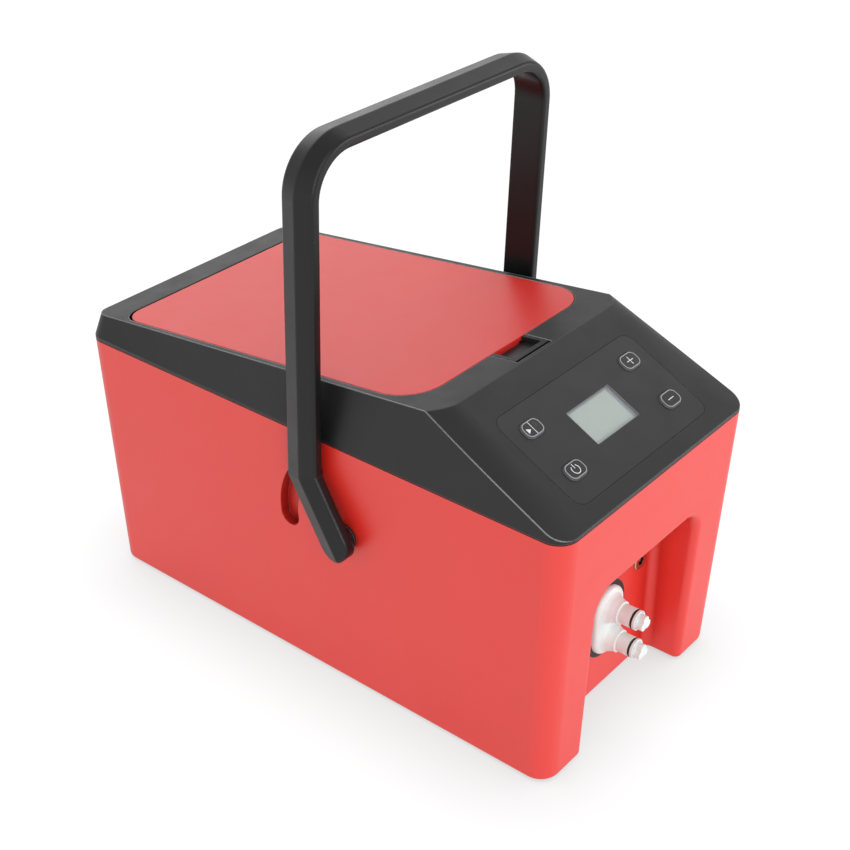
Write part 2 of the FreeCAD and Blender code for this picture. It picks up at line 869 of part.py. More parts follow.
def button_outline(x, w, grow, height):
    """Outline of a button's cap in the panel's own frame."""
    half_x = button_half_width + grow
    half_y = button_half_length + grow
    corners = [(x - half_x, -w - half_y), (x + half_x, -w - half_y),
               (x + half_x, -w + half_y), (x - half_x, -w + half_y)]
    return rounded_polygon(corners, [button_corner_radius + grow] * len(corners), height)


def button_hole(x, w):
    """Opening that a button's cap moves in, in the panel's own frame."""
    return plate(button_outline(x, w, button_gap, -wall - touch), wall + touch + button_proud)


def board_boss_places():
    """Bosses that carry the control board."""
    return [(side * board_boss_offset, w) for side in (-1, 1)
            for w in (button_upper_row - boss_rear_shift, button_lower_row + boss_front_shift)]


def display_outline(grow, height):
    """Outline of the display window in the panel's own frame."""
    return rectangle(display_width / 2 + grow, -display_bottom - grow, -display_top + grow, 1.0, 1.0, height)


def overlay_outline(grow, height):
    """Outline of the membrane overlay in the panel's own frame."""
    return rectangle(overlay_half_width + grow, -overlay_bottom - grow, -overlay_top + grow,
                     overlay_radius, overlay_radius, height)


def make_top_cover():
    """Dark cover with the lid's seat, the hinge ears, the latch well and the panel."""
    outer = cover_form(0.0)
    cover = outer.cut(cover_form(wall))
    tray_bottom = trough_depth + trough_wall
    tray = plate(lid_outline(lid_gap + wall, lid_rear_gap + wall, -ledge_bottom), ledge_bottom)
    trough_box = box(-half_width, half_width, trough_front_s - trough_wall, lid_rear_s + 20, -tray_bottom, 0)
    trough_block = plate(lid_outline(lid_gap + wall, lid_rear_gap + wall, -tray_bottom), tray_bottom)
    trough_block = trough_block.common(trough_box)
    bosses = []
    for x, w in board_boss_places():
        boss = bar(board_boss_radius, Vector(x, -w, -wall - board_drop), Vector(x, -w, -1))
        bosses.append(placed(boss, panel_frame))
    for x, y in cover_screw_places():
        low = seam_z - lug_drop
        bosses.append(bar(lug_radius, Vector(x, y, low), Vector(x, y, seam_z + 60)))
    rib_outer = shell_form(wall + touch, seam_z - locating_rib_height, seam_z)
    rib_inner = shell_form(wall + touch + locating_rib_width, seam_z - locating_rib_height - 1, seam_z + 1)
    rib = rib_outer.cut(rib_inner)
    rib_seat = plate(shell_outline(seam_z, wall - 0.5), cover_rim_height)
    rib_room = shell_outline(seam_z - 1, wall + touch + locating_rib_width)
    rib_seat = rib_seat.cut(plate(rib_room, cover_rim_height + 5))
    blocks = [placed(tray, top_frame), placed(trough_block, top_frame), rib_seat]
    added = blocks[0].fuse(blocks[1:] + bosses).common(outer.fuse(rib_fill()))
    cover = join([cover, added, rib])
    cuts = [placed(plate(lid_outline(lid_gap, lid_rear_gap, -ledge_depth), ledge_depth + 5), top_frame)]
    trough = plate(lid_outline(lid_gap, lid_rear_gap, -trough_depth), trough_depth + 5)
    trough_zone = box(-half_width, half_width, trough_front_s, lid_rear_s + 20, -trough_depth - 1, 5)
    cuts.append(placed(trough.common(trough_zone), top_frame))
    cuts.append(placed(plate(mouth_outline(0.0, -60), 60 + 5), top_frame))
    well_half = latch_half_width + latch_gap
    well = box(-well_half, well_half, latch_setback - latch_travel, lid_front_s + 1, -ledge_bottom - 5, 5)
    cuts.append(placed(well, top_frame))
    tab_half = lid_tab_half_width + latch_gap
    tab_rear = lid_front_s + lid_tab_thickness + touch
    cuts.append(placed(box(-tab_half, tab_half, lid_front_s, tab_rear, -ledge_bottom - 5, 5), top_frame))
    cuts.append(placed(plate(overlay_outline(0.0, -overlay_thickness), 10), panel_frame))
    cuts.append(placed(plate(display_outline(0.0, -10), 20), panel_frame))
    for name, x, w in button_places():
        cuts.append(placed(button_hole(x, w), panel_frame))
    for x, w in board_boss_places():
        pilot = bar(screw_radius, Vector(x, -w, -wall - board_drop - 1), Vector(x, -w, -wall - 1))
        cuts.append(placed(pilot, panel_frame))
    for x, y in cover_screw_places():
        cuts.append(bar(screw_radius, Vector(x, y, seam_z - lug_drop - 1), Vector(x, y, seam_z + 2)))
    cover = cover.cut(cuts[0].fuse(cuts[1:]))
    return join([cover] + hinge_ears())


def rib_fill():
    """Room under the seam that the cover's corner posts may fill."""
    return shell_form(wall + touch, seam_z - lug_drop, seam_z + 0.5)


def hinge_stations():
    """Inner and outer X of each hinge ear, and of the knuckle between them."""
    knuckle = (hinge_offset - hinge_knuckle_width / 2, hinge_offset + hinge_knuckle_width / 2)
    inner_ear = (knuckle[0] - touch - hinge_ear_width, knuckle[0] - touch)
    outer_ear = (knuckle[1] + touch, knuckle[1] + touch + hinge_ear_width)
    return knuckle, inner_ear, outer_ear


def hinge_ears():
    """Ears on the cover that carry the hinge pins."""
    ears = []
    stations = hinge_stations()
    for side in (-1, 1):
        for x0, x1 in stations[1:]:
            left, right = sorted((side * x0, side * x1))
            eye = bar(hinge_knuckle_radius, Vector(left, hinge_s, -hinge_depth),
                      Vector(right, hinge_s, -hinge_depth))
            web = box(left, right, trough_front_s - 0.5, hinge_s,
                      -hinge_depth - hinge_knuckle_radius, -lid_thickness - touch)
            hole = bar(hinge_pin_radius, Vector(left - 1, hinge_s, -hinge_depth),
                       Vector(right + 1, hinge_s, -hinge_depth))
            ears.append(placed(eye.fuse(web).removeSplitter().cut(hole), top_frame))
    return ears


def make_hinge_pins():
    """Steel pins through the ears and the lid's knuckles."""
    pins = []
    stations = hinge_stations()
    for side in (-1, 1):
        x0 = side * stations[1][0]
        x1 = side * stations[2][1]
        pin = bar(hinge_pin_radius, Vector(x0, hinge_s, -hinge_depth), Vector(x1, hinge_s, -hinge_depth))
        pins.append(placed(pin, top_frame))
    return pins


def make_cover_screws():
    """Screws up through the shell's lugs into the cover."""
    head_z = seam_z - lug_drop - lug_height
    length = lug_height + cover_screw_bite
    return [screw(Vector(x, y, head_z), Z_AXIS, length) for x, y in cover_screw_places()]


# ---------------------------------------------------------------- latch
def make_latch_slider():
    """Finger latch: a flush frame round a pocket that is open towards the lid."""
    front = latch_setback
    rear = lid_front_s - lid_gap
    frame_plate = box(-latch_half_width, latch_half_width, front, rear, -latch_plate, 0)
    pocket_front = front + latch_front_strip
    tub = box(-latch_pocket_half_width - latch_wall, latch_pocket_half_width + latch_wall,
              pocket_front - latch_wall, rear, -latch_depth, -latch_plate)
    post_root = Vector(0, pocket_front - latch_wall, -latch_depth + latch_post_rise)
    post = bar(latch_spring_radius - 0.8, post_root, post_root - Y_AXIS * latch_post_length)
    nose = box(-lid_tab_half_width + 2, lid_tab_half_width - 2, rear - 1, rear + latch_nose_reach,
               -latch_depth + 0.6, -latch_depth + latch_floor)
    body = join([frame_plate, tub, post])
    floor_front = -latch_depth + latch_floor + latch_floor_rise
    floor_rear = -latch_depth + latch_floor
    side_view = [Vector(0, pocket_front, 5), Vector(0, pocket_front, floor_front),
                 Vector(0, rear + 1, floor_rear), Vector(0, rear + 1, 5)]
    section = Part.Face(Part.makePolygon(side_view + [side_view[0]]))
    section.translate(Vector(-latch_pocket_half_width, 0, 0))
    pocket = section.extrude(Vector(2 * latch_pocket_half_width, 0, 0))
    return placed(join([body.cut(pocket), nose]), top_frame)


def make_latch_housing():
    """Open box under the cover that the latch slides in."""
    front = latch_setback - latch_travel - 2 * housing_wall
    rear = lid_front_s + lid_tab_thickness + touch + housing_rear_wall
    half = latch_half_width + latch_gap + housing_wall
    low = -latch_depth - touch - housing_wall
    body = box(-half, half, front, rear, low, -wall)
    room = box(-half + housing_wall, half - housing_wall, front + housing_wall, rear - housing_rear_wall,
               low + housing_wall, 1)
    body = body.cut(room)
    wedge = placed(panel_cutter(wall), top_frame.inverse())
    body = body.cut(wedge)
    tray = plate(lid_outline(lid_gap + wall, lid_rear_gap + wall, -ledge_bottom), ledge_bottom)
    body = body.cut(tray)
    return placed(body, top_frame)


def make_latch_spring():
    """Small return spring on the latch's post."""
    length = latch_front_strip - latch_wall + housing_wall - touch
    seat = Vector(0, latch_setback + latch_front_strip - latch_wall, -latch_depth + latch_post_rise)
    return [spring_between(seat, Y_AXIS * -1, length, latch_spring_radius, 4, top_frame)]


def spring_between(start, aim, length, radius, coils, frame):
    """Coil spring as a ribbed sleeve round its axis."""
    wire = length / (2 * coils)
    core = radius - 0.5
    profile = [(0, core - 0.25)]
    for coil in range(coils):
        at = 2 * coil * wire
        profile += [(at, radius), (at + wire, radius), (at + wire, core), (at + 2 * wire, core)]
    profile += [(length, core - 0.25)]
    return placed(turned(profile, start, aim), frame)


# ---------------------------------------------------------------- lid
def make_lid_panel():
    """Red lid skin with its front tab and hinge knuckles."""
    panel = plate(lid_outline(0.0, 0.0, -lid_thickness), lid_thickness)
    tab = box(-lid_tab_half_width, lid_tab_half_width, lid_front_s, lid_front_s + lid_tab_thickness,
              -lid_tab_depth, -lid_thickness + 0.5)
    pieces = [panel, tab]
    knuckle, inner_ear, outer_ear = hinge_stations()
    reliefs = []
    holes = []
    for side in (-1, 1):
        left, right = sorted((side * knuckle[0], side * knuckle[1]))
        centre_left = Vector(left, hinge_s, -hinge_depth)
        centre_right = Vector(right, hinge_s, -hinge_depth)
        pieces.append(bar(hinge_knuckle_radius, centre_left, centre_right))
        pieces.append(box(left, right, hinge_s - hinge_knuckle_radius, hinge_s + hinge_knuckle_radius,
                          -hinge_depth, -lid_thickness + 0.5))
        holes.append(bar(hinge_pin_radius + fine, centre_left - X_AXIS, centre_right + X_AXIS))
        for x0, x1 in (inner_ear, outer_ear):
            low, high = sorted((side * (x0 - touch), side * (x1 + touch)))
            reliefs.append(box(low, high, hinge_s - hinge_knuckle_radius - touch, lid_rear_s + 1,
                               -lid_thickness - 1, -hinge_skin))
    body = join(pieces)
    body = body.cut(holes[0].fuse(holes[1:] + reliefs))
    keep = [plate(lid_outline(0.0, 0.0, -20), 20 + 1)]
    return placed(body.common(keep[0]), top_frame)


def plug_outline(inset, height):
    """Outline of the lid's insulated plug in the top's own frame."""
    return mouth_outline(-plug_clearance - inset, height)


def make_lid_liner():
    """Pale liner of the lid: a shallow tub with a flange under the skin."""
    flange = plate(mouth_outline(1.5, -lid_thickness - gasket_thickness), gasket_thickness)
    tub = plate(plug_outline(0.0, -lid_thickness - plug_depth), plug_depth)
    body = join([flange, tub])
    hollow = plate(plug_outline(plug_wall, -lid_thickness - plug_depth + plug_wall), plug_depth + 1)
    return placed(body.cut(hollow), top_frame)


def make_lid_foam():
    """Foam board inside the lid."""
    depth = plug_depth - plug_wall
    foam = plate(plug_outline(plug_wall + touch, -lid_thickness - depth), depth)
    return placed(foam, top_frame)


def make_lid_gasket():
    """Rubber seal under the edge of the lid."""
    outer = plate(mouth_outline(1.5 + gasket_width, -lid_thickness - gasket_thickness), gasket_thickness)
    inner = plate(mouth_outline(1.5 + touch, -lid_thickness - gasket_thickness), gasket_thickness)
    return placed(outer.cut(inner), top_frame)


# ---------------------------------------------------------------- tank
def tank_form(grow, bottom):
    """Upright block as wide as the tank, grown all round."""
    radius = max(tank_corner_radius + grow, 2.0)
    wire = rectangle(tank_half_width + grow, tank_front - grow, tank_rear + grow, radius, radius, bottom)
    return plate(wire, crease_z - bottom)


def below_top(depth):
    """Half space under the top's plane, as a large block."""
    reach = case_length
    return placed(box(-reach, reach, -reach, 2 * reach, -reach, -depth), top_frame)


def tank_spigots():
    """Places of the tank's outlet and return spigots."""
    return [(outlet_x, pump_z), (return_spigot_x, return_spigot_z)]


def make_inner_tank():
    """Water tank with a flange under the cover's ledge and two spigots."""
    body = tank_form(tank_wall, tank_floor - tank_wall).common(below_top(flange_top))
    flange = plate(mouth_outline(tank_wall + tank_flange, -flange_top - tank_wall), tank_wall)
    flange = placed(flange, top_frame)
    pieces = [body, flange]
    wall_y = tank_front - tank_wall
    for x, z in tank_spigots():
        pieces.append(bar(barb_radius, Vector(x, wall_y - spigot_reach, z), Vector(x, wall_y + 1, z)))
    body = join(pieces).cut(tank_form(0.0, tank_floor))
    for x, z in tank_spigots():
        body = body.cut(bar(barb_bore, Vector(x, wall_y - spigot_reach - 1, z), Vector(x, tank_front + 1, z)))
    probe = Vector(probe_x, wall_y - 1, probe_z)
    return body.cut(bar(probe_radius, probe, probe + Vector(0, tank_wall + 2, 0)))


def make_foam_jacket():
    """Insulation round the tank."""
    rear = half_length - wall - rear_draft - foam_rear_gap
    side = tank_half_width + tank_wall + foam_thickness
    front = tank_front - tank_wall - foam_thickness
    radius = tank_corner_radius
    block = plate(rectangle(side, front, rear, radius, radius, foam_bottom), crease_z - foam_bottom)
    block = block.common(below_top(flange_top + tank_wall + touch))
    lid_zone = below_top(trough_depth + trough_wall + touch)
    block = block.common(lid_zone).common(shell_form(wall + touch, base_z, seam_z - 0.5))
    block = block.cut(tank_form(tank_wall, tank_floor - tank_wall))
    wall_y = tank_front - tank_wall
    for x, z in tank_spigots():
        hole = Vector(x, wall_y - 2 * foam_thickness, z)
        block = block.cut(bar(barb_radius + hose_wall + hose_room, hole, Vector(x, wall_y + 1, z)))
    probe = Vector(probe_x, wall_y - 2 * foam_thickness, probe_z)
    block = block.cut(bar(probe_radius + gland_room, probe, Vector(probe_x, wall_y + 1, probe_z)))
    for x, y in cover_screw_places():
        low = Vector(x, y, seam_z - lug_drop - 2 * lug_height)
        block = block.cut(bar(lug_radius + lug_room, low, Vector(x, y, seam_z)))
    return block


def make_tank_gasket():
    """Seal between the cover's ledge and the tank's flange."""
    outer = plate(mouth_outline(tank_wall + tank_flange - 1.5, -flange_top), tank_gasket_thickness)
    inner = plate(mouth_outline(1.0, -flange_top), tank_gasket_thickness)
    return placed(outer.cut(inner), top_frame)


def make_intake_strainer():
    """Slotted cap over the tank's outlet."""
    x, z = tank_spigots()[0]
    start = Vector(x, tank_front, z)
    cap = bar(strainer_radius, start, start + Y_AXIS * strainer_length)
    hollow_end = start + Y_AXIS * (strainer_length - strainer_end)
    cap = cap.cut(bar(strainer_radius - strainer_wall, start - Y_AXIS, hollow_end))
    reach = 2 * strainer_radius
    for step in range(strainer_slots):
        y = tank_front + strainer_slot_start + step * strainer_slot_pitch
        cap = cap.cut(box(x - reach, x + reach, y, y + strainer_slot_width, z, z + reach))
    return cap


def make_temperature_probe():
    """Steel probe through the tank's front wall, with its gland."""
    wall_y = tank_front - tank_wall
    profile = [(-probe_tail, 0), (-probe_tail, probe_radius), (-gland_length, probe_radius),
               (-gland_length, gland_radius), (0, gland_radius), (0, probe_radius),
               (probe_length - probe_tip, probe_radius), (probe_length, probe_radius / 2), (probe_length, 0)]
    return turned(profile, Vector(probe_x, wall_y, probe_z), Y_AXIS)


# ---------------------------------------------------------------- control panel pieces
def make_panel_overlay():
    """Membrane sheet with openings for the window and the buttons."""
    sheet = plate(overlay_outline(-fine, -overlay_thickness), overlay_thickness)
    sheet = sheet.cut(plate(display_outline(0.0, -5), 10))
    for name, x, w in button_places():
        sheet = sheet.cut(button_hole(x, w))
    return placed(sheet, panel_frame)


def make_display_window():
    """Clear window of the display."""
    window = plate(display_outline(-fine, -display_inset - display_thickness), display_thickness)
    return placed(window, panel_frame)


def make_lcd_module():
    """Display glass under the window."""
    glass = plate(display_outline(2.0, -wall - lcd_glass_thickness), lcd_glass_thickness)
    stem = plate(display_outline(-1.0, -wall), wall - display_inset - display_thickness)
    return placed(join([glass, stem]), panel_frame)


def make_lcd_frame():
    """Holder between the display and its board."""
    low = -wall - board_drop
    height = board_drop - lcd_glass_thickness
    block = plate(display_outline(3.0, low), height)
    return placed(block.cut(plate(display_outline(0.5, low - 1), height - 1)), panel_frame)


def make_button(x, w):
    """Rounded key that narrows towards its face, with a retaining flange and a stem."""
    flange_top = -wall - slide_gap
    flange_low = flange_top - button_flange_thickness
    stem_end = -wall - board_drop + switch_stem_height + slide_gap + fine + button_travel
    profile = [(stem_end, 0), (stem_end, button_stem_radius), (flange_low, button_stem_radius),
               (flange_low, button_flange_radius), (flange_top, button_flange_radius), (flange_top, 0)]
    root = turned(profile, Vector(x, -w, 0), Z_AXIS)
    neck = plate(button_outline(x, w, 0.0, flange_top), -flange_top)
    outlines = [button_outline(x, w, 0.0, 0.0), button_outline(x, w, -button_taper, button_proud)]
    cap = Part.makeLoft(outlines, True, True)
    return placed(join([root, neck, cap]), panel_frame)


def board_plug_place():
    """Middle of the board's cable plug in the panel's own frame."""
    return board_boss_offset - board_plug_inset, -(button_upper_row + button_lower_row) / 2 - board_plug_shift


def make_control_board():
    """Board behind the panel, carried on the cover's bosses."""
    top = -wall - board_drop
    half = board_boss_offset + control_board_side_margin
    front = -(button_lower_row + control_board_front_margin)
    rear = -(button_upper_row - control_board_rear_margin)
    radius = control_board_radius
    board = plate(rectangle(half, front, rear, radius, radius, top - board_thickness), board_thickness)
    for x, w in board_boss_places():
        board = board.cut(bar(screw_radius, Vector(x, -w, top - 5), Vector(x, -w, top + 1)))
    under = top - board_thickness
    middle = (front + rear) / 2
    controller = box(chip_left, chip_left + chip_side, middle, middle + chip_side, under - chip_height, under)
    driver_rear = middle - display_chip_gap
    driver = box(display_chip_left, display_chip_left + display_chip_side,
                 driver_rear - display_chip_side, driver_rear, under - display_chip_height, under)
    x, y = board_plug_place()
    plug = box(x - board_plug_half_width, x + board_plug_half_width,
               y - board_plug_half_length, y + board_plug_half_length, under - board_plug_height, under)
    return placed(join([board, controller, driver, plug]), panel_frame)


def make_tact_switches():
    """Four small switches under the buttons."""
    switches = []
    low = -wall - board_drop
    for name, x, w in button_places():
        body_top = low + switch_height
        stem_top = low + switch_stem_height
        profile = [(low, 0), (low, switch_body_radius), (body_top, switch_body_radius),
                   (body_top, switch_stem_radius), (stem_top, switch_stem_radius), (stem_top, 0)]
        switches.append(placed(turned(profile, Vector(x, -w, 0), Z_AXIS), panel_frame))
    return switches


def make_board_screws():
    """Screws of both boards."""
    screws = []
    normal = panel_frame.Rotation.multVec(Z_AXIS)
    for x, w in board_boss_places():
        head = panel_frame.multVec(Vector(x, -w, -wall - board_drop - board_thickness))
        screws.append(screw(head, normal, board_screw))
    for y, z in board_screw_places():
        screws.append(screw(Vector(board_x, y, z), X_AXIS, short_screw))
    return screws


def driver_plug_places():
    """Middle of each cable plug on the driver board: power, motor and panel leads."""
    return [(board_front + power_plug_setback, jack_z),
            (board_front + motor_plug_setback, board_top - motor_plug_drop),
            (board_front + panel_plug_setback, board_top - panel_plug_drop)]


def make_driver_board():
    """Power and motor board on the shell's right side."""
    board = box(board_x, board_x + board_thickness, board_front, board_rear, board_bottom, board_top)
    for y, z in board_screw_places():
        board = board.cut(bar(screw_radius, Vector(board_x - 1, y, z), Vector(board_x + 3, y, z)))
    parts = [board]
    half = driver_plug_half
    for y, z in driver_plug_places():
        parts.append(box(board_x - driver_plug_depth, board_x, y - half, y + half, z - half, z + half))
    for rise in (capacitor_low_rise, capacitor_high_rise):
        capacitor = Vector(board_x, board_rear - capacitor_inset, board_bottom + rise)
        parts.append(bar(capacitor_radius, capacitor - X_AXIS * capacitor_length, capacitor))
    relay_y = board_front + relay_setback
    relay_z = board_bottom + relay_rise
    parts.append(box(board_x - relay_depth, board_x, relay_y, relay_y + relay_side,
                     relay_z, relay_z + relay_side))
    sink_y = board_rear - sink_inset
    sink_z = board_bottom + sink_rise
    parts.append(box(board_x - sink_depth, board_x, sink_y, sink_y + sink_length,
                     sink_z, sink_z + sink_height))
    return join(parts)


# ---------------------------------------------------------------- couplings and jack
def coupling_middle():
    """Height of the middle between the two couplings."""
    return (supply_z + return_z) / 2


def plate_face_y():
    """Depth of the white plate's front face."""
    return back_wall_y - bezel_thickness - plate_thickness


def make_coupling_bezel():
    """Dark oval pad on the recess's back wall."""
    pad = oval(bezel_half_width, bezel_half_height, back_wall_y - bezel_thickness, back_wall_y,
               coupling_x, coupling_middle() + plate_rise)
    for z in (supply_z, return_z):
        hole = Vector(coupling_x, back_wall_y - 10, z)
        pad = pad.cut(bar(coupling_body_radius, hole, hole + Vector(0, 20, 0)))
    return pad


def make_coupling_plate():
    """White oval plate that clamps the couplings."""
    disc = oval(plate_half_width, plate_half_height, plate_face_y(), plate_face_y() + plate_thickness,
                coupling_x, coupling_middle() + plate_rise)
    for z in (supply_z, return_z):
        hole = Vector(coupling_x, plate_face_y() - 10, z)
        disc = disc.cut(bar(coupling_body_radius, hole, hole + Vector(0, 20, 0)))
    return disc


def barrel_groove():
    """Start and end of the O-ring's groove, from the barrel's tip."""
    start = nose_length
    return start, start + o_ring_room * o_ring_section


def make_coupling(z):
    """Male quick coupling: hose barb, body, shoulder, barrel and nose."""
    tip_y = coupling_tip_y()
    groove_front, groove_rear = barrel_groove()
    groove_radius = barrel_radius - 2 * o_ring_section
    plate_y = plate_face_y() - tip_y
    barb_start = back_wall_inner_y - tip_y
    body_radius = coupling_body_radius
    end = barb_start + barb_length
    profile = [(0, nose_counterbore), (0, barrel_radius - 0.5), (0.5, barrel_radius),
               (groove_front, barrel_radius), (groove_front, groove_radius),
               (groove_rear, groove_radius), (groove_rear, barrel_radius),
               (plate_y - shoulder_length, barrel_radius), (plate_y - shoulder_length, shoulder_radius),
               (plate_y, shoulder_radius), (plate_y, body_radius), (barb_start, body_radius),
               (barb_start, barb_radius), (end, barb_radius), (end, barb_bore), (barb_start - 2, barb_bore),
               (barb_start - 2, barrel_bore), (nose_counterbore_depth, barrel_bore),
               (nose_counterbore_depth, nose_counterbore)]
    return turned(profile, Vector(coupling_x, tip_y, z), Y_AXIS)


def coupling_tip_y():
    """Depth of the barrels' tips."""
    return plate_face_y() - barrel_reach


def make_o_rings():
    """Black rings in the barrels' grooves."""
    rings = []
    groove_front, groove_rear = barrel_groove()
    for z in (supply_z, return_z):
        centre = Vector(coupling_x, coupling_tip_y() + (groove_front + groove_rear) / 2, z)
        rings.append(Part.makeTorus(barrel_radius - o_ring_section, o_ring_section, centre, Y_AXIS))
    return rings


def make_poppet(z):
    """Three-lobed valve head on its stem."""
    tip = Vector(coupling_x, coupling_tip_y(), z)
    head_front = tip.y - poppet_reach
    head_rear = tip + Y_AXIS * slide_gap
    pieces = [bar(nose_counterbore - slide_gap, tip - Y_AXIS * poppet_rim_reach, head_rear)]
    offset = poppet_lobe_radius - poppet_lobe_end
    for turn in (90, 210, 330):
        angle = math.radians(turn)
        x = coupling_x + offset * math.cos(angle)
        lobe_z = z + offset * math.sin(angle)
        pieces.append(bar(poppet_lobe_end, Vector(x, head_front, lobe_z), Vector(x, head_rear.y, lobe_z)))
    pieces.append(bar(poppet_stem_radius, tip, tip + Y_AXIS * poppet_stem_length))
    guide = tip + Y_AXIS * poppet_guide
    pieces.append(bar(barrel_bore - fine, guide, guide + Y_AXIS * poppet_guide_thickness))
    return join(pieces)


def make_poppet_spring(z):
    """Return spring behind a poppet's guide disc."""
    start = Vector(coupling_x, coupling_tip_y() + poppet_guide + poppet_guide_thickness, z)
    return spring_between(start, Y_AXIS, 6.0, barrel_bore - 0.4, 4, Placement())


def make_dc_jack():
    """Power inlet with its nickel ring and centre pin."""
    front_y = back_wall_y - jack_ring_thickness
    length = back_wall_inner_y + jack_tail - front_y
    body = [(0, jack_bore), (0, jack_ring_radius - 0.5), (0.5, jack_ring_radius),
            (jack_ring_thickness, jack_ring_radius), (jack_ring_thickness, jack_barrel_radius),
            (length, jack_barrel_radius), (length, 0), (jack_depth, 0), (jack_depth, jack_bore)]
    origin = Vector(jack_x, front_y, jack_z)
    pin = bar(jack_pin_radius, origin + Vector(0, 1.0, 0), origin + Vector(0, jack_depth + 0.5, 0))
    return join([turned(body, origin, Y_AXIS), pin])


def make_dc_jack_nut():
    """Hexagon nut behind the wall."""
    across = jack_ring_radius + 1.5
    centre = Vector(jack_x, back_wall_inner_y, jack_z)
    corners = []
    for step in range(6):
        angle = math.radians(60 * step)
        corners.append(centre + Vector(across * math.cos(angle), 0, across * math.sin(angle)))
    nut = Part.Face(Part.makePolygon(corners + [corners[0]])).extrude(Y_AXIS * jack_nut_thickness)
    return nut.cut(bar(jack_barrel_radius, centre - Y_AXIS, centre + Y_AXIS * (jack_nut_thickness + 1)))


# ---------------------------------------------------------------- pump and hoses
def pump_point(along, up=0.0):
    """Point on or above the pump's axis."""
    return Vector(pump_x + along, pump_y, pump_z + up)


def make_pump_motor():
    """Motor can with its end bell and terminal block."""
    bore_end = -motor_length + motor_end_wall
    profile = [(-motor_length, 0), (-motor_length, motor_radius - motor_bevel),
               (-motor_length + motor_bevel, motor_radius), (0, motor_radius), (0, shaft_radius + fine),
               (bore_end, shaft_radius + fine), (bore_end, 0)]
    block_top = pump_point(-terminal_place, motor_radius + terminal_rise)
    block = box(block_top.x - terminal_half_width, block_top.x + terminal_half_width,
                pump_y - terminal_half_length, pump_y + terminal_half_length, pump_z, block_top.z)
    can = turned(profile, pump_point(0), X_AXIS)
    return join([can, block.cut(bar(motor_radius - 1, pump_point(-motor_length), pump_point(0)))])


def make_pump_head():
    """Volute with its upright outlet."""
    body = bar(head_radius, pump_point(0), pump_point(head_length))
    outlet_start = pump_point(head_length / 2, head_radius - 3)
    outlet_end = pump_point(head_length / 2, head_radius + pump_spigot_length)
    body = join([body, bar(barb_radius, outlet_start, outlet_end)])
    body = body.cut(bar(head_radius - head_wall, pump_point(head_wall), pump_point(head_length + 1)))
    body = body.cut(bar(barb_bore, pump_point(head_length / 2, head_radius - 6), outlet_end + Z_AXIS))
    return body.cut(bar(shaft_radius + fine, pump_point(-1), pump_point(head_wall + 1)))


def make_pump_cover():
    """Front plate of the pump with the inlet spigot."""
    start = pump_point(head_length)
    disc = bar(head_radius, start, start + Vector(pump_cover_thickness, 0, 0))
    spigot_end = pump_point(head_length + pump_cover_thickness + pump_spigot_length)
    body = join([disc, bar(barb_radius, start, spigot_end)])
    return body.cut(bar(barb_bore, start - X_AXIS, spigot_end + X_AXIS))


def make_pump_shaft():
    """Motor shaft that carries the impeller."""
    start = -motor_length + motor_end_wall + 1.0
    return bar(shaft_radius, pump_point(start), pump_point(head_wall + impeller_gap + impeller_height))


def make_pump_impeller():
    """Bladed wheel on the shaft."""
    start = head_wall + impeller_gap
    disc = bar(impeller_radius, pump_point(start), pump_point(start + impeller_disc))
    hub = bar(impeller_hub_radius, pump_point(start), pump_point(start + impeller_height))
    pieces = [disc, hub]
    half = blade_thickness / 2
    for step in range(impeller_blades):
        blade = box(pump_x + start, pump_x + start + impeller_height, pump_y - half, pump_y + half,
                    pump_z + impeller_hub_radius - 1.0, pump_z + impeller_radius - blade_inset)
        blade.rotate(pump_point(0), X_AXIS, 360.0 * step / impeller_blades)
        pieces.append(blade)
    return join(pieces).cut(bar(shaft_radius, pump_point(0), pump_point(head_length)))


def make_pump_bracket():
    """Rubber saddle between the motor and the base plate."""
    floor_z = base_z + wall
    near_x = pump_x - saddle_setback
    block = box(near_x - saddle_length, near_x, pump_y - saddle_half_width, pump_y + saddle_half_width,
                floor_z, pump_z)
    return block.cut(bar(motor_radius, pump_point(-motor_length), pump_point(head_length)))


def hose_routes():
    """Points of the supply, return and intake hoses."""
    barb_y = back_wall_inner_y + 1.0
    outlet = pump_point(head_length / 2, head_radius + 2)
    wall_y = tank_front - tank_wall
    loop_z = supply_z + supply_loop_rise
    supply = [Vector(coupling_x, barb_y, supply_z), Vector(coupling_x, pump_y, supply_z),
              Vector(coupling_x, pump_y, loop_z), Vector(outlet.x, pump_y, loop_z), outlet]
    turn_y = pump_y + 2
    back = [Vector(coupling_x, barb_y, return_z), Vector(coupling_x, turn_y, return_z),
            Vector(return_spigot_x, turn_y, return_z), Vector(return_spigot_x, turn_y, return_spigot_z),
            Vector(return_spigot_x, wall_y - 2, return_spigot_z)]
    inlet = pump_point(head_length + pump_cover_thickness + 1)
    intake = [inlet, Vector(outlet_x, pump_y, pump_z), Vector(outlet_x, wall_y - 2, pump_z)]
    return supply, back, intake


def make_hose(points):
    """Silicone hose on its barbs."""
    return tube(points, hose_bend_radius, barb_radius + hose_wall, barb_radius)


def make_hose_clips():
    """Clips round each end of each hose."""
    clips = []
    inner = barb_radius + hose_wall
    for points in hose_routes():
        for end, toward in ((points[0], points[1]), (points[-1], points[-2])):
            aim = (toward - end).normalize()
            start = end + aim * 1.5
            clips.append(sleeve(inner + 0.8, inner, start, start + aim * clip_width))
    return clips


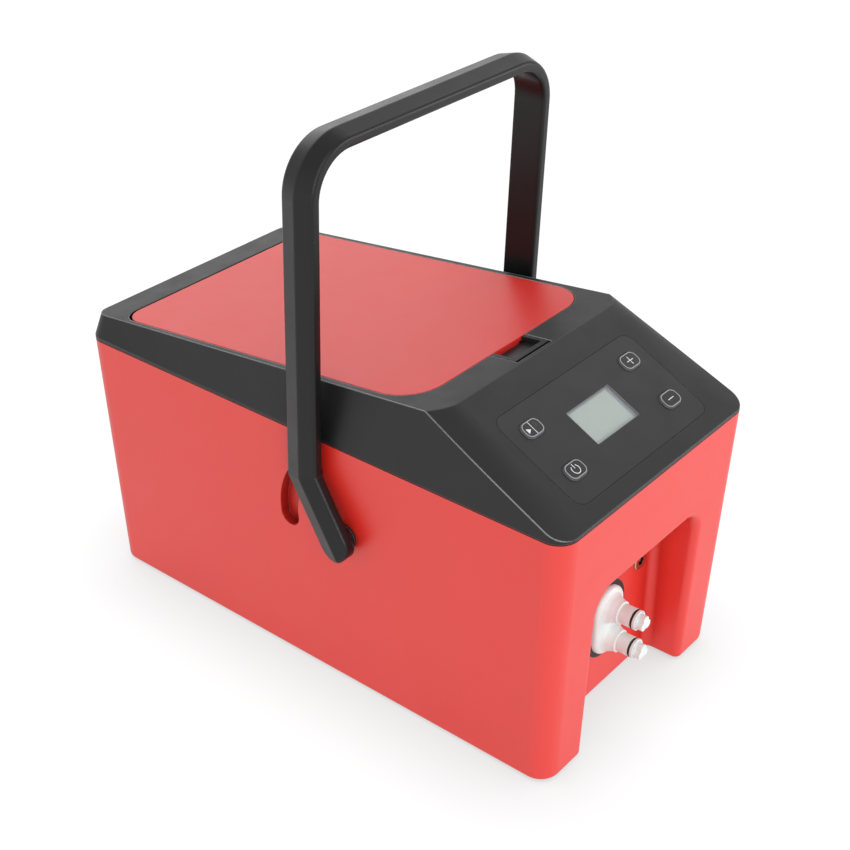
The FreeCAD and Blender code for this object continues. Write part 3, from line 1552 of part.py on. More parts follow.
def make_wiring():
    """Leads from the jack, the motor and the control board to the driver board."""
    plugs = [Vector(board_x - driver_plug_depth, y, z) for y, z in driver_plug_places()]
    power_plug, motor_plug, panel_plug = plugs
    jack_end = Vector(jack_x, back_wall_inner_y + jack_tail, jack_z)
    power = [jack_end, Vector(jack_x, power_plug.y, jack_z), power_plug]
    motor_top = pump_point(-terminal_place, motor_radius + terminal_rise)
    motor = [motor_top, Vector(motor_top.x, pump_y, motor_plug.z),
             Vector(motor_top.x, motor_plug.y, motor_plug.z), motor_plug]
    x, y = board_plug_place()
    plug_drop = wall + board_drop + board_thickness + board_plug_height
    board_end = panel_frame.multVec(Vector(x, y, -plug_drop))
    below_board = panel_frame.multVec(Vector(x, y, -plug_drop - panel_lead_drop))
    panel = [board_end, below_board, Vector(x, panel_plug.y, panel_plug.z), panel_plug]
    return [tube(power, power_lead_bend, lead_radius), tube(motor, motor_lead_bend, lead_radius),
            tube(panel, panel_lead_bend, lead_radius)]


# ---------------------------------------------------------------- handle
def post_y(z):
    """Depth of the post's centre line at a height."""
    return handle_post_y - (z - handle_reference_z) * math.tan(math.radians(handle_lean))


def handle_section(outer_radius):
    """Section of the bail in (across, outward) directions, with a ridge down its outer side."""
    half = handle_width / 2
    corners = [(-half, 0.0), (half, 0.0), (half, handle_rear_thickness),
               (handle_ridge_offset, handle_ridge_thickness), (-half, handle_front_thickness)]
    outer = [outer_radius] * 3
    return rounded_polygon(corners, [handle_inner_radius, handle_rear_radius] + outer)


def section_at(origin, across, outward, outer_radius):
    """The bail's section placed with its own two directions."""
    turn = Rotation(across, outward, across.cross(outward), "ZXY")
    return placed(handle_section(outer_radius), Placement(origin, turn))


def make_handle_bail():
    """Carrying bail: two posts with kinked feet and a crossbar, in one moulding."""
    top_z = handle_top_z - handle_ridge_thickness
    lean = math.radians(handle_lean)
    up = Vector(0, -math.sin(lean), math.cos(lean))
    across = Vector(0, math.cos(lean), math.sin(lean))
    kink = Vector(0, post_y(handle_kink_z), handle_kink_z)
    height = (top_z - handle_kink_z) / math.cos(lean)
    x = handle_inner_half_width
    radius = handle_bend_radius - handle_ridge_thickness
    left_foot = kink - X_AXIS * x - up * 30
    left_top = kink - X_AXIS * x + up * height
    right_top = kink + X_AXIS * x + up * height
    right_foot = kink + X_AXIS * x - up * 30
    path = route([left_foot, left_top, right_top, right_foot], radius)
    section = section_at(left_foot, across, -X_AXIS, handle_outer_radius)
    bow = path.makePipeShell([section], True, False)
    arm_line = (Vector(0, pivot_y, pivot_z) - kink).normalize()
    mitre = (up - arm_line).normalize()
    slab = mitre_block(kink, mitre)
    pieces = [bow.common(slab)]
    for side in (-1, 1):
        pieces.append(make_arm(side, kink, arm_line, slab))
    return join(pieces + make_hubs()).cut(pin_holes())


def mitre_block(kink, normal):
    """Large block above the plane that halves the kink."""
    reach = 2 * case_length
    block = box(-reach, reach, -reach, reach, 0, reach)
    return placed(block, Placement(kink, Rotation(Z_AXIS, normal)))


def make_arm(side, kink, arm_line, slab):
    """Lower arm from the kink down to the round end at the pivot."""
    pivot = Vector(0, pivot_y, pivot_z)
    across = Vector(0, -arm_line.z, arm_line.y)
    if across.y < 0:
        across = across * -1
    outward = X_AXIS * side
    base = kink + outward * handle_inner_half_width
    start = base - arm_line * 25
    length = (pivot - kink).Length + 25
    wire = section_at(start, across, outward, 0)
    arm = Part.Face(wire).extrude(arm_line * (length + handle_end_radius))
    x0, x1 = sorted((side * (handle_inner_half_width - 5), side * (handle_inner_half_width + 20)))
    end_disc = bar(handle_end_radius, Vector(x0, pivot.y, pivot.z), Vector(x1, pivot.y, pivot.z))
    side_reach = 40.0
    shank = box(x0, x1, -side_reach, side_reach, 0, 2 * side_reach)
    shank = placed(shank, Placement(pivot, Rotation(Z_AXIS, arm_line * -1)))
    arm = arm.common(end_disc.fuse(shank)).removeSplitter()
    sharp = [edge for edge in arm.Edges if is_outer_edge(edge, start)]
    return arm.makeFillet(handle_outer_radius, sharp).cut(slab)


def is_outer_edge(edge, start):
    """True for an edge of an arm's outer side, but not of its cut upper end."""
    thinnest = min(handle_rear_thickness, handle_front_thickness)
    heights = [abs(vertex.X) - handle_inner_half_width for vertex in edge.Vertexes]
    ends = [(vertex.Point - start).Length < handle_width for vertex in edge.Vertexes]
    return min(heights) > thinnest - touch and not all(ends)


def make_hubs():
    """Round hubs between the arms and the case."""
    hubs = []
    face = shell_half_width(pivot_z) - 3 * fine + pivot_flange_thickness + touch
    for side in (-1, 1):
        start = Vector(side * face, pivot_y, pivot_z)
        hubs.append(bar(hub_radius, start, Vector(side * (handle_inner_half_width + 1), pivot_y, pivot_z)))
    return hubs


def pin_span():
    """Inner and outer X of the pivot pins."""
    inner = shell_half_width(pivot_z) - pivot_boss_depth - touch - retainer_thickness - 0.5
    return inner, handle_inner_half_width + 5.5


def pin_holes():
    """Blind holes in the arms for the pivot pins and the guide pegs."""
    holes = []
    inner, outer = pin_span()
    peg = guide_centre(guide_low_angle + handle_swing)
    for side in (-1, 1):
        holes.append(bar(pivot_pin_radius, Vector(side * (inner - 5), pivot_y, pivot_z),
                         Vector(side * outer, pivot_y, pivot_z)))
        holes.append(bar(peg_stem_radius, Vector(side * (handle_inner_half_width - 5), peg.y, peg.z),
                         Vector(side * (handle_inner_half_width + peg_stem_depth), peg.y, peg.z)))
    return holes[0].fuse(holes[1:])


def make_pivot_pins():
    """Steel pins pressed into the arms."""
    inner, outer = pin_span()
    return [bar(pivot_pin_radius, Vector(side * inner, pivot_y, pivot_z),
                Vector(side * outer, pivot_y, pivot_z)) for side in (-1, 1)]


def make_pivot_bushes():
    """Flanged bushes in the shell's sides."""
    bushes = []
    seat = shell_half_width(pivot_z) - 3 * fine
    inner = shell_half_width(pivot_z) - pivot_boss_depth
    bore = pivot_pin_radius + pivot_running_clearance
    length = seat - inner
    end = length + pivot_flange_thickness
    profile = [(0, bore), (0, pivot_bush_radius), (length, pivot_bush_radius),
               (length, pivot_flange_radius), (end, pivot_flange_radius), (end, bore)]
    for side in (-1, 1):
        bushes.append(turned(profile, Vector(side * inner, pivot_y, pivot_z), X_AXIS * side))
    return bushes


def make_pivot_retainers():
    """Push-on washers that hold the pins inside the case."""
    outer = shell_half_width(pivot_z) - pivot_boss_depth - touch
    inner = outer - retainer_thickness
    return [sleeve(retainer_radius, pivot_pin_radius, Vector(side * inner, pivot_y, pivot_z),
                   Vector(side * outer, pivot_y, pivot_z)) for side in (-1, 1)]


def make_guide_pegs():
    """Pegs on the arms that run in the guide slots."""
    pegs = []
    place = guide_centre(guide_low_angle + handle_swing)
    tip = shell_half_width(place.z) - peg_reach
    length = handle_inner_half_width - tip
    end = length + peg_stem_depth
    profile = [(0, 0), (0, peg_radius - 0.8), (0.8, peg_radius), (length, peg_radius),
               (length, peg_stem_radius), (end, peg_stem_radius), (end, 0)]
    for side in (-1, 1):
        pegs.append(turned(profile, Vector(side * tip, place.y, place.z), X_AXIS * side))
    return pegs


# ---------------------------------------------------------------- export
def export(name, shapes):
    """Write one node; a list is a group of separate solids."""
    if not isinstance(shapes, list):
        shapes = [shapes]
    solids = [solid for shape in shapes for solid in shape.Solids]
    for solid in solids:
        if not solid.isValid():
            print("invalid solid in", name)
    whole = solids[0] if len(solids) == 1 else Part.makeCompound(solids)
    whole.exportStep("parts/" + name + ".step")
    volume = sum(solid.Volume for solid in solids)
    print("%-20s %2d solids %10.1f mm3" % (name, len(solids), volume))


def main():
    """Build every piece and write it to parts."""
    os.makedirs("parts", exist_ok=True)
    export("outer_shell", make_outer_shell())
    export("base_plate", make_base_plate())
    export("base_screws", make_base_screws())
    export("rubber_feet", make_rubber_feet())
    export("top_cover", make_top_cover())
    export("cover_screws", make_cover_screws())
    export("hinge_pins", make_hinge_pins())
    export("latch_slider", make_latch_slider())
    export("latch_housing", make_latch_housing())
    export("latch_spring", make_latch_spring())
    export("lid_panel", make_lid_panel())
    export("lid_liner", make_lid_liner())
    export("lid_foam", make_lid_foam())
    export("lid_gasket", make_lid_gasket())
    export("inner_tank", make_inner_tank())
    export("foam_jacket", make_foam_jacket())
    export("tank_gasket", make_tank_gasket())
    export("intake_strainer", make_intake_strainer())
    export("temperature_probe", make_temperature_probe())
    export("panel_overlay", make_panel_overlay())
    export("display_window", make_display_window())
    export("lcd_module", make_lcd_module())
    export("lcd_frame", make_lcd_frame())
    for name, x, w in button_places():
        export(name, make_button(x, w))
    export("control_board", make_control_board())
    export("tact_switches", make_tact_switches())
    export("board_screws", make_board_screws())
    export("driver_board", make_driver_board())
    export("wiring", make_wiring())
    export("coupling_bezel", make_coupling_bezel())
    export("coupling_plate", make_coupling_plate())
    export("supply_coupling", make_coupling(supply_z))
    export("return_coupling", make_coupling(return_z))
    export("coupling_o_rings", make_o_rings())
    export("supply_poppet", make_poppet(supply_z))
    export("return_poppet", make_poppet(return_z))
    export("supply_spring", make_poppet_spring(supply_z))
    export("return_spring", make_poppet_spring(return_z))
    export("dc_jack", make_dc_jack())
    export("dc_jack_nut", make_dc_jack_nut())
    export("pump_motor", make_pump_motor())
    export("pump_head", make_pump_head())
    export("pump_cover", make_pump_cover())
    export("pump_shaft", make_pump_shaft())
    export("pump_impeller", make_pump_impeller())
    export("pump_bracket", make_pump_bracket())
    supply, back, intake = hose_routes()
    export("supply_hose", make_hose(supply))
    export("return_hose", make_hose(back))
    export("intake_hose", make_hose(intake))
    export("hose_clips", make_hose_clips())
    export("handle_bail", make_handle_bail())
    export("pivot_pins", make_pivot_pins())
    export("pivot_bushes", make_pivot_bushes())
    export("pivot_retainers", make_pivot_retainers())
    export("guide_pegs", make_guide_pegs())


main()
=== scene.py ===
import logging
import math
from dataclasses import dataclass, field
from enum import Enum
from typing import Optional, Sequence

import bmesh
import bpy
from mathutils import Matrix, Vector


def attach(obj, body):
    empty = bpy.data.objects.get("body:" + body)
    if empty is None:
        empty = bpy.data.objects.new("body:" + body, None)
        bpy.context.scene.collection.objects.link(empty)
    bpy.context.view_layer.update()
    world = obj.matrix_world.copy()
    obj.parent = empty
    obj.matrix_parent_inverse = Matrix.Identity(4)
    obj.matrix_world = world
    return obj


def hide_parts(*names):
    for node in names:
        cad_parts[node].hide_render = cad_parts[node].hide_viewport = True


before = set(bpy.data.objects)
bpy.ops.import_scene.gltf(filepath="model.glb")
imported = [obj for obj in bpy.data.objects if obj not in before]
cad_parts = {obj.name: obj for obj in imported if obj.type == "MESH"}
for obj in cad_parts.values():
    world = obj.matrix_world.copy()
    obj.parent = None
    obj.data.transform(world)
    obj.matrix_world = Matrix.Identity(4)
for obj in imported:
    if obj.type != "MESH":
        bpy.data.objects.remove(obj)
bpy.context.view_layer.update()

# Looks of a portable hot and cold therapy machine.  Sizes are in millimetres and become
# metres where a mesh is placed; the floor and the lamps are given in metres.  X is the
# width, -Y the front, Z up.

LOG = logging.getLogger("therapy_machine")
MM = 0.001
SAME_HEIGHT = 1e-6
WELD = 1e-5
TURNED_WELD = 1e-4
Colour = tuple[float, float, float]


# ---------------------------------------------------------------- places
@dataclass(frozen=True)
class Slope:
    """A sloping face of the cover, with X across, Y up the slope and Z out of it."""

    y: float
    z: float
    degrees: float

    def matrix(self, x: float = 0.0, along: float = 0.0, out: float = 0.0) -> Matrix:
        """Placement of a piece drawn in the face's own axes.

        Args:
            x: Distance across the face, in millimetres.
            along: Distance rearwards along the slope, in millimetres.
            out: Height above the face, in millimetres.

        Returns:
            The placement, in metres.
        """
        origin = Matrix.Translation(Vector((0.0, self.y, self.z)) * MM)
        turn = Matrix.Rotation(math.radians(self.degrees), 4, "X")
        return origin @ turn @ Matrix.Translation(Vector((x, along, out)) * MM)


SHELL_BOTTOM = 1.5
SHELL_HEIGHT = 181.3
SEAM = SHELL_BOTTOM + SHELL_HEIGHT
CREASE_Y = -104.3
CREASE_Z = SEAM + 47.9
PANEL_DROP = 46.4
PANEL_RUN = 90.7
TOP_DROP = 33.0
TOP_RUN = 296.9
PANEL = Slope(CREASE_Y, CREASE_Z, math.degrees(math.atan2(PANEL_DROP, PANEL_RUN)))
TOP = Slope(CREASE_Y, CREASE_Z, -math.degrees(math.atan2(TOP_DROP, TOP_RUN)))


# ---------------------------------------------------------------- finishes
class Grain(Enum):
    """Ways in which a moulded or worked surface is textured."""

    SPARK = "spark"
    SMOOTH = "smooth"
    BRUSHED = "brushed"
    CELLS = "cells"


class Tree:
    """The nodes of one material, with short calls to add and join them."""

    UPPER_FACING = (-0.15, 0.2)
    SIDE_FACING = (0.25, 0.6)
    EDGE_TURN = (0.88, 0.995)
    LEAST_PAINTED_HIGHLIGHT = 0.22
    OPEN_RANGE = (0.3, 0.9)
    EDGE_SAMPLES = 6
    OPEN_SAMPLES = 8

    def __init__(self, name: str) -> None:
        """Start a material with an empty node tree.

        Args:
            name: Name of the material.
        """
        self.material = bpy.data.materials.new(name)
        self.material.use_nodes = True
        self.nodes = self.material.node_tree.nodes
        self.links = self.material.node_tree.links
        self.nodes.clear()
        self.output = self.nodes.new("ShaderNodeOutputMaterial")
        self.place = self.nodes.new("ShaderNodeTexCoord").outputs["Object"]

    def link(self, start: bpy.types.NodeSocket, end: bpy.types.NodeSocket) -> None:
        """Join two sockets.

        Args:
            start: Socket that gives the value.
            end: Socket that takes it.
        """
        self.links.new(start, end)

    def stretched(self, scale: Sequence[float]) -> bpy.types.NodeSocket:
        """Object coordinates stretched along the axes.

        Args:
            scale: Factor along each axis.

        Returns:
            The stretched coordinates.
        """
        mapping = self.nodes.new("ShaderNodeMapping")
        mapping.inputs["Scale"].default_value = scale
        self.link(self.place, mapping.inputs["Vector"])
        return mapping.outputs["Vector"]

    def noise(self, size: float, detail: float = 3.0, place: Optional[bpy.types.NodeSocket] = None,
              rough: float = 0.5) -> bpy.types.NodeSocket:
        """Cloudy pattern.

        Args:
            size: Size of one cloud, in millimetres.
            detail: Number of finer layers.
            place: Coordinates, or none for the object's own.
            rough: Strength of the finer layers.

        Returns:
            The pattern's value.
        """
        node = self.nodes.new("ShaderNodeTexNoise")
        node.inputs["Scale"].default_value = 1.0 / (size * MM)
        node.inputs["Detail"].default_value = detail
        node.inputs["Roughness"].default_value = rough
        self.link(place or self.place, node.inputs["Vector"])
        return node.outputs["Fac"]

    def cells(self, size: float) -> bpy.types.NodeSocket:
        """Soft cellular pattern.

        Args:
            size: Size of one cell, in millimetres.

        Returns:
            The distance pattern.
        """
        node = self.nodes.new("ShaderNodeTexVoronoi")
        node.feature = "SMOOTH_F1"
        node.inputs["Scale"].default_value = 1.0 / (size * MM)
        self.link(self.place, node.inputs["Vector"])
        return node.outputs["Distance"]

    def ranged(self, value: bpy.types.NodeSocket, low: float, high: float,
               start: float = 0.3, stop: float = 0.7) -> bpy.types.NodeSocket:
        """A pattern brought between two values.

        Args:
            value: The pattern.
            low: Result at the start.
            high: Result at the stop.
            start: Pattern value that gives the low result.
            stop: Pattern value that gives the high result.

        Returns:
            The ranged value.
        """
        node = self.nodes.new("ShaderNodeMapRange")
        node.inputs["From Min"].default_value = start
        node.inputs["From Max"].default_value = stop
        node.inputs["To Min"].default_value = low
        node.inputs["To Max"].default_value = high
        self.link(value, node.inputs["Value"])
        return node.outputs["Result"]

    def mixed(self, factor: bpy.types.NodeSocket, first: Colour | bpy.types.NodeSocket,
              second: Colour) -> bpy.types.NodeSocket:
        """Two colours mixed by a pattern.

        Args:
            factor: The pattern, from 0 to 1.
            first: Colour at 0, plain or a pattern's own.
            second: Colour at 1.

        Returns:
            The mixed colour.
        """
        node = self.nodes.new("ShaderNodeMix")
        node.data_type = "RGBA"
        self.link(factor, node.inputs["Factor"])
        if isinstance(first, bpy.types.NodeSocket):
            self.link(first, node.inputs[6])
        else:
            node.inputs[6].default_value = (*first, 1.0)
        node.inputs[7].default_value = (*second, 1.0)
        return node.outputs[2]

    def bump(self, height: bpy.types.NodeSocket, depth: float,
             normal: Optional[bpy.types.NodeSocket] = None) -> bpy.types.NodeSocket:
        """Relief of a surface.

        Args:
            height: The relief's pattern.
            depth: Depth of the relief, in millimetres.
            normal: Surface direction that the relief is laid on.

        Returns:
            The new surface direction.
        """
        node = self.nodes.new("ShaderNodeBump")
        node.inputs["Distance"].default_value = depth * MM
        self.link(height, node.inputs["Height"])
        if normal is not None:
            self.link(normal, node.inputs["Normal"])
        return node.outputs["Normal"]

    def soft_edges(self, radius: float) -> bpy.types.NodeSocket:
        """Surface direction with its edges rounded.

        Args:
            radius: Radius of the rounding, in millimetres.

        Returns:
            The rounded surface direction.
        """
        node = self.nodes.new("ShaderNodeBevel")
        node.samples = self.EDGE_SAMPLES
        node.inputs["Radius"].default_value = radius * MM
        return node.outputs["Normal"]

    def painted_edge_highlight(self, normal: bpy.types.NodeSocket) -> bpy.types.NodeSocket:
        """Mask of the painted highlight on the upper edges down the sides.

        Args:
            normal: The rounded surface direction.

        Returns:
            The mask, 1 on an edge and 0 on a flat face.
        """
        face = self.nodes.new("ShaderNodeNewGeometry")
        turn = self.nodes.new("ShaderNodeVectorMath")
        turn.operation = "DOT_PRODUCT"
        self.link(normal, turn.inputs[0])
        self.link(face.outputs["Normal"], turn.inputs[1])
        own = self.nodes.new("ShaderNodeVectorTransform")
        own.vector_type = "NORMAL"
        own.convert_from = "WORLD"
        own.convert_to = "OBJECT"
        self.link(normal, own.inputs[0])
        axes = self.nodes.new("ShaderNodeSeparateXYZ")
        self.link(own.outputs[0], axes.inputs[0])
        sideways = self.nodes.new("ShaderNodeMath")
        sideways.operation = "ABSOLUTE"
        self.link(axes.outputs["X"], sideways.inputs[0])
        upper = self.ranged(axes.outputs["Z"], 0.0, 1.0, *self.UPPER_FACING)
        flank = self.ranged(sideways.outputs[0], self.LEAST_PAINTED_HIGHLIGHT, 1.0, *self.SIDE_FACING)
        edge = self.ranged(turn.outputs["Value"], 1.0, 0.0, *self.EDGE_TURN)
        return self.product(self.product(edge, upper), flank)

    def openness(self, reach: float) -> bpy.types.NodeSocket:
        """How open the part is above its surface, from 0 deep in a slot to 1 on a flat face.

        Args:
            reach: How far away a wall of the same part still counts, in millimetres.

        Returns:
            The openness.
        """
        node = self.nodes.new("ShaderNodeAmbientOcclusion")
        node.samples = self.OPEN_SAMPLES
        node.only_local = True
        node.inputs["Distance"].default_value = reach * MM
        return node.outputs["AO"]

    def product(self, first: bpy.types.NodeSocket, second: bpy.types.NodeSocket) -> bpy.types.NodeSocket:
        """Two patterns multiplied.

        Args:
            first: One pattern.
            second: The other pattern.

        Returns:
            Their product.
        """
        node = self.nodes.new("ShaderNodeMath")
        node.operation = "MULTIPLY"
        self.link(first, node.inputs[0])
        self.link(second, node.inputs[1])
        return node.outputs[0]

    def surface(self) -> bpy.types.ShaderNode:
        """A principled surface joined to the output."""
        shader = self.nodes.new("ShaderNodeBsdfPrincipled")
        self.link(shader.outputs["BSDF"], self.output.inputs["Surface"])
        return shader


def seeing_rays(nodes: bpy.types.Nodes, links: bpy.types.NodeLinks) -> bpy.types.NodeSocket:
    """Tell the rays that see or mirror a surface from the ones that light the part.

    Args:
        nodes: The nodes of the surface.
        links: Their links.

    Returns:
        1 on a ray that sees or mirrors the surface, otherwise 0.
    """
    rays = nodes.new("ShaderNodeLightPath")
    seeing = rays.outputs["Is Camera Ray"]
    for kind in ("Is Glossy Ray", "Is Transmission Ray"):
        either = nodes.new("ShaderNodeMath")
        either.operation = "MAXIMUM"
        links.new(seeing, either.inputs[0])
        links.new(rays.outputs[kind], either.inputs[1])
        seeing = either.outputs[0]
    return seeing


def add_to_scene(name: str, data: bpy.types.ID) -> bpy.types.Object:
    """Put a mesh, a lamp or a camera in the scene, at the origin.

    Args:
        name: Name of the object.
        data: What it shows.

    Returns:
        The object.
    """
    added = bpy.data.objects.new(name, data)
    bpy.context.scene.collection.objects.link(added)
    return added


def shade(colour: Colour, factor: float) -> Colour:
    """A colour made lighter or darker.

    Args:
        colour: The colour.
        factor: Factor on each channel.

    Returns:
        The new colour, no channel over 1.
    """
    return tuple(min(1.0, channel * factor) for channel in colour)


@dataclass(frozen=True)
class NamedFinish:
    """A finish that becomes one material, however many parts share it."""

    name: str

    def material(self) -> bpy.types.Material:
        """The finish as a material, made once.

        Returns:
            The material.
        """
        made = bpy.data.materials.get("finish_" + self.name)
        return made or self.make()

    def make(self) -> bpy.types.Material:
        """Build the material.

        Returns:
            The new material.
        """
        raise NotImplementedError


@dataclass(frozen=True)
class Finish(NamedFinish):
    """Finish of a moulded, cast or printed part."""

    colour: Colour
    roughness: float
    specular: float = 0.5
    metallic: float = 0.0
    grain: Grain = Grain.SPARK
    grain_size: float = 0.6
    grain_depth: float = 0.01
    tone: float = 0.03
    roughness_spread: float = 0.05
    edge_radius: float = 0.0
    painted_highlight_gain: float = 1.0
    hollow_shade: float = 1.0
    hollow_reach: float = 22.0
    opacity: float = 1.0
    subsurface: float = 0.0
    subsurface_depth: float = 2.0
    cloud_size: float = 85.0
    handled_size: float = 22.0
    brushed_stretch: float = 0.04
    smooth_spread: float = 20.0

    def relief(self, tree: Tree) -> bpy.types.NodeSocket:
        """Height pattern of the surface's grain.

        Args:
            tree: The material's nodes.

        Returns:
            The height pattern.
        """
        if self.grain is Grain.BRUSHED:
            return tree.noise(self.grain_size, 2.0, tree.stretched((self.brushed_stretch, 1.0, 1.0)))
        if self.grain is Grain.CELLS:
            return tree.cells(self.grain_size)
        if self.grain is Grain.SMOOTH:
            return tree.noise(self.grain_size * self.smooth_spread, 1.0)
        return tree.noise(self.grain_size, 2.0, rough=0.7)

    def make(self) -> bpy.types.Material:
        """Build the material.

        Returns:
            The new material.
        """
        tree = Tree("finish_" + self.name)
        shader = tree.surface()
        clouds = tree.ranged(tree.noise(self.cloud_size, 4.0), 0.0, 1.0)
        mixed = tree.mixed(clouds, shade(self.colour, 1 - self.tone), shade(self.colour, 1 + self.tone))
        edges = tree.soft_edges(self.edge_radius) if self.edge_radius else None
        # Painted highlight: the colour is lightened on the upper and sideways-facing edges, standing in for
        # reflected light.
        if self.painted_highlight_gain > 1.0:
            mixed = tree.mixed(tree.painted_edge_highlight(edges), mixed, shade(self.colour, self.painted_highlight_gain))
        shader.inputs["Specular IOR Level"].default_value = self.specular
        # Painted shade: the colour darkens and the reflection dulls in the part's own hollows, by how open
        # the surface is.
        if self.hollow_shade < 1.0:
            openness = tree.openness(self.hollow_reach)
            depth = tree.ranged(openness, 1.0, 0.0, *tree.OPEN_RANGE)
            mixed = tree.mixed(depth, mixed, shade(self.colour, self.hollow_shade))
            dull = self.specular * self.hollow_shade
            dulled = tree.ranged(openness, dull, self.specular, *tree.OPEN_RANGE)
            tree.link(dulled, shader.inputs["Specular IOR Level"])
        tree.link(mixed, shader.inputs["Base Color"])
        handled = tree.noise(self.handled_size, 5.0, rough=0.6)
        rough = tree.ranged(handled, self.roughness - self.roughness_spread,
                            self.roughness + self.roughness_spread)
        tree.link(rough, shader.inputs["Roughness"])
        tree.link(tree.bump(self.relief(tree), self.grain_depth, edges), shader.inputs["Normal"])
        shader.inputs["Metallic"].default_value = self.metallic
        shader.inputs["Alpha"].default_value = self.opacity
        if self.subsurface:
            shader.inputs["Subsurface Weight"].default_value = self.subsurface
            shader.inputs["Subsurface Scale"].default_value = self.subsurface_depth * MM
        return tree.material


@dataclass(frozen=True)
class BoardFinish(NamedFinish):
    """Solder-masked circuit board with copper tracks under the mask."""

    mask: Colour
    track: Colour
    pitch: float = 5.0
    stagger: float = 0.35
    track_share: float = 0.06
    track_height: float = 0.03
    second_mask: float = 0.85
    cloud_size: float = 6.0
    roughness: tuple[float, float] = (0.25, 0.4)

    def make(self) -> bpy.types.Material:
        """Build the material.

        Returns:
            The new material.
        """
        tree = Tree("finish_" + self.name)
        shader = tree.surface()
        tracks = tree.nodes.new("ShaderNodeTexBrick")
        tracks.offset = self.stagger
        tracks.inputs["Scale"].default_value = 1.0 / (self.pitch * MM)
        tracks.inputs["Mortar Size"].default_value = self.track_share
        tracks.inputs["Color1"].default_value = (*self.mask, 1.0)
        tracks.inputs["Color2"].default_value = (*shade(self.mask, self.second_mask), 1.0)
        tracks.inputs["Mortar"].default_value = (*self.track, 1.0)
        tree.link(tree.place, tracks.inputs["Vector"])
        tree.link(tracks.outputs["Color"], shader.inputs["Base Color"])
        tree.link(tree.bump(tracks.outputs["Fac"], self.track_height), shader.inputs["Normal"])
        tree.link(tree.ranged(tree.noise(self.cloud_size), *self.roughness), shader.inputs["Roughness"])
        return tree.material


@dataclass(frozen=True)
class DisplayFinish(NamedFinish):
    """Unlit liquid-crystal glass with the faint grid of its dots."""

    colour: Colour
    pitch: float = 0.8
    line_share: float = 0.05
    line_depth: float = 0.002
    second_dot: float = 0.985
    line_shade: float = 1.04
    cloud_size: float = 14.0
    roughness: tuple[float, float] = (0.30, 0.32)

    def make(self) -> bpy.types.Material:
        """Build the material.

        Returns:
            The new material.
        """
        tree = Tree("finish_" + self.name)
        shader = tree.surface()
        dots = tree.nodes.new("ShaderNodeTexBrick")
        dots.offset = 0.0
        dots.inputs["Scale"].default_value = 1.0 / (self.pitch * MM)
        dots.inputs["Brick Width"].default_value = 1.0
        dots.inputs["Row Height"].default_value = 1.0
        dots.inputs["Mortar Size"].default_value = self.line_share
        dots.inputs["Color1"].default_value = (*self.colour, 1.0)
        dots.inputs["Color2"].default_value = (*shade(self.colour, self.second_dot), 1.0)
        dots.inputs["Mortar"].default_value = (*shade(self.colour, self.line_shade), 1.0)
        tree.link(tree.place, dots.inputs["Vector"])
        tree.link(dots.outputs["Color"], shader.inputs["Base Color"])
        tree.link(tree.ranged(tree.noise(self.cloud_size), *self.roughness), shader.inputs["Roughness"])
        tree.link(tree.bump(dots.outputs["Fac"], self.line_depth), shader.inputs["Normal"])
        return tree.material


def printed_ink(name: str, colour: Colour, tone: float = 0.05) -> Finish:
    """Smooth thin ink of the printed marks.

    Args:
        name: Name of the ink.
        colour: Its colour.
        tone: How far the colour varies.

    Returns:
        The finish.
    """
    return Finish("ink_" + name, colour, 0.5, 0.3, grain=Grain.SMOOTH, grain_size=0.3, grain_depth=0.002,
                  tone=tone)


# The red shell's colour and reflection are darkened in its own slots and recesses: painted shade.
RED_SHELL = Finish("red_shell", (0.78, 0.020, 0.010), 0.42, 0.95, grain_size=0.8, grain_depth=0.012,
                   tone=0.012, roughness_spread=0.02, edge_radius=1.2, hollow_shade=0.35)
RED_LID = Finish("red_lid", (0.74, 0.026, 0.019), 0.40, 0.55, grain_size=0.8, grain_depth=0.012,
                 tone=0.012, roughness_spread=0.015, edge_radius=0.8)
# Charcoal and the handle lighten the colour of their upper edges: a painted highlight.
CHARCOAL = Finish("charcoal", (0.010, 0.010, 0.0105), 0.46, 0.37, grain_size=0.55, grain_depth=0.02,
                  tone=0.06, edge_radius=1.4, painted_highlight_gain=48.0)
HANDLE = Finish("handle_satin", (0.008, 0.008, 0.0085), 0.33, 0.29, grain_size=0.5, grain_depth=0.016,
                tone=0.06, edge_radius=1.2, painted_highlight_gain=40.0)
LATCH_BLACK = Finish("latch_black", (0.014, 0.014, 0.015), 0.45, 0.3, grain_size=0.5, grain_depth=0.015,
                     tone=0.06, edge_radius=0.4)
DARK = Finish("dark_plastic", (0.014, 0.014, 0.015), 0.48, 0.3, grain_size=0.5, grain_depth=0.012, tone=0.08,
              edge_radius=0.3)
OVERLAY = Finish("overlay_film", (0.012, 0.012, 0.0135), 0.42, 0.39, grain_size=0.35, grain_depth=0.008,
                 tone=0.04)
KEY_FILM = Finish("key_film", (0.012, 0.012, 0.0135), 0.40, 0.39, grain_size=0.35, grain_depth=0.006,
                  tone=0.04, edge_radius=0.3)
GROOVE = Finish("groove_black", (0.009, 0.009, 0.010), 0.6, 0.3, grain_size=0.4, grain_depth=0.005)
INK_GREY = printed_ink("grey", (0.36, 0.36, 0.37))
INK_WHITE = printed_ink("white", (0.80, 0.80, 0.80), 0.03)
INK_WALL = printed_ink("wall", (0.085, 0.085, 0.09))
INK_FAINT = printed_ink("faint", (0.055, 0.055, 0.058))
WINDOW = Finish("window_film", (0.55, 0.57, 0.57), 0.12, 0.5, grain=Grain.SMOOTH, grain_size=1.0,
                grain_depth=0.001, opacity=0.06)
DISPLAY_EDGE = Finish("display_edge", (0.16, 0.165, 0.17), 0.45, 0.4, grain=Grain.SMOOTH, grain_size=0.6,
                      grain_depth=0.003)
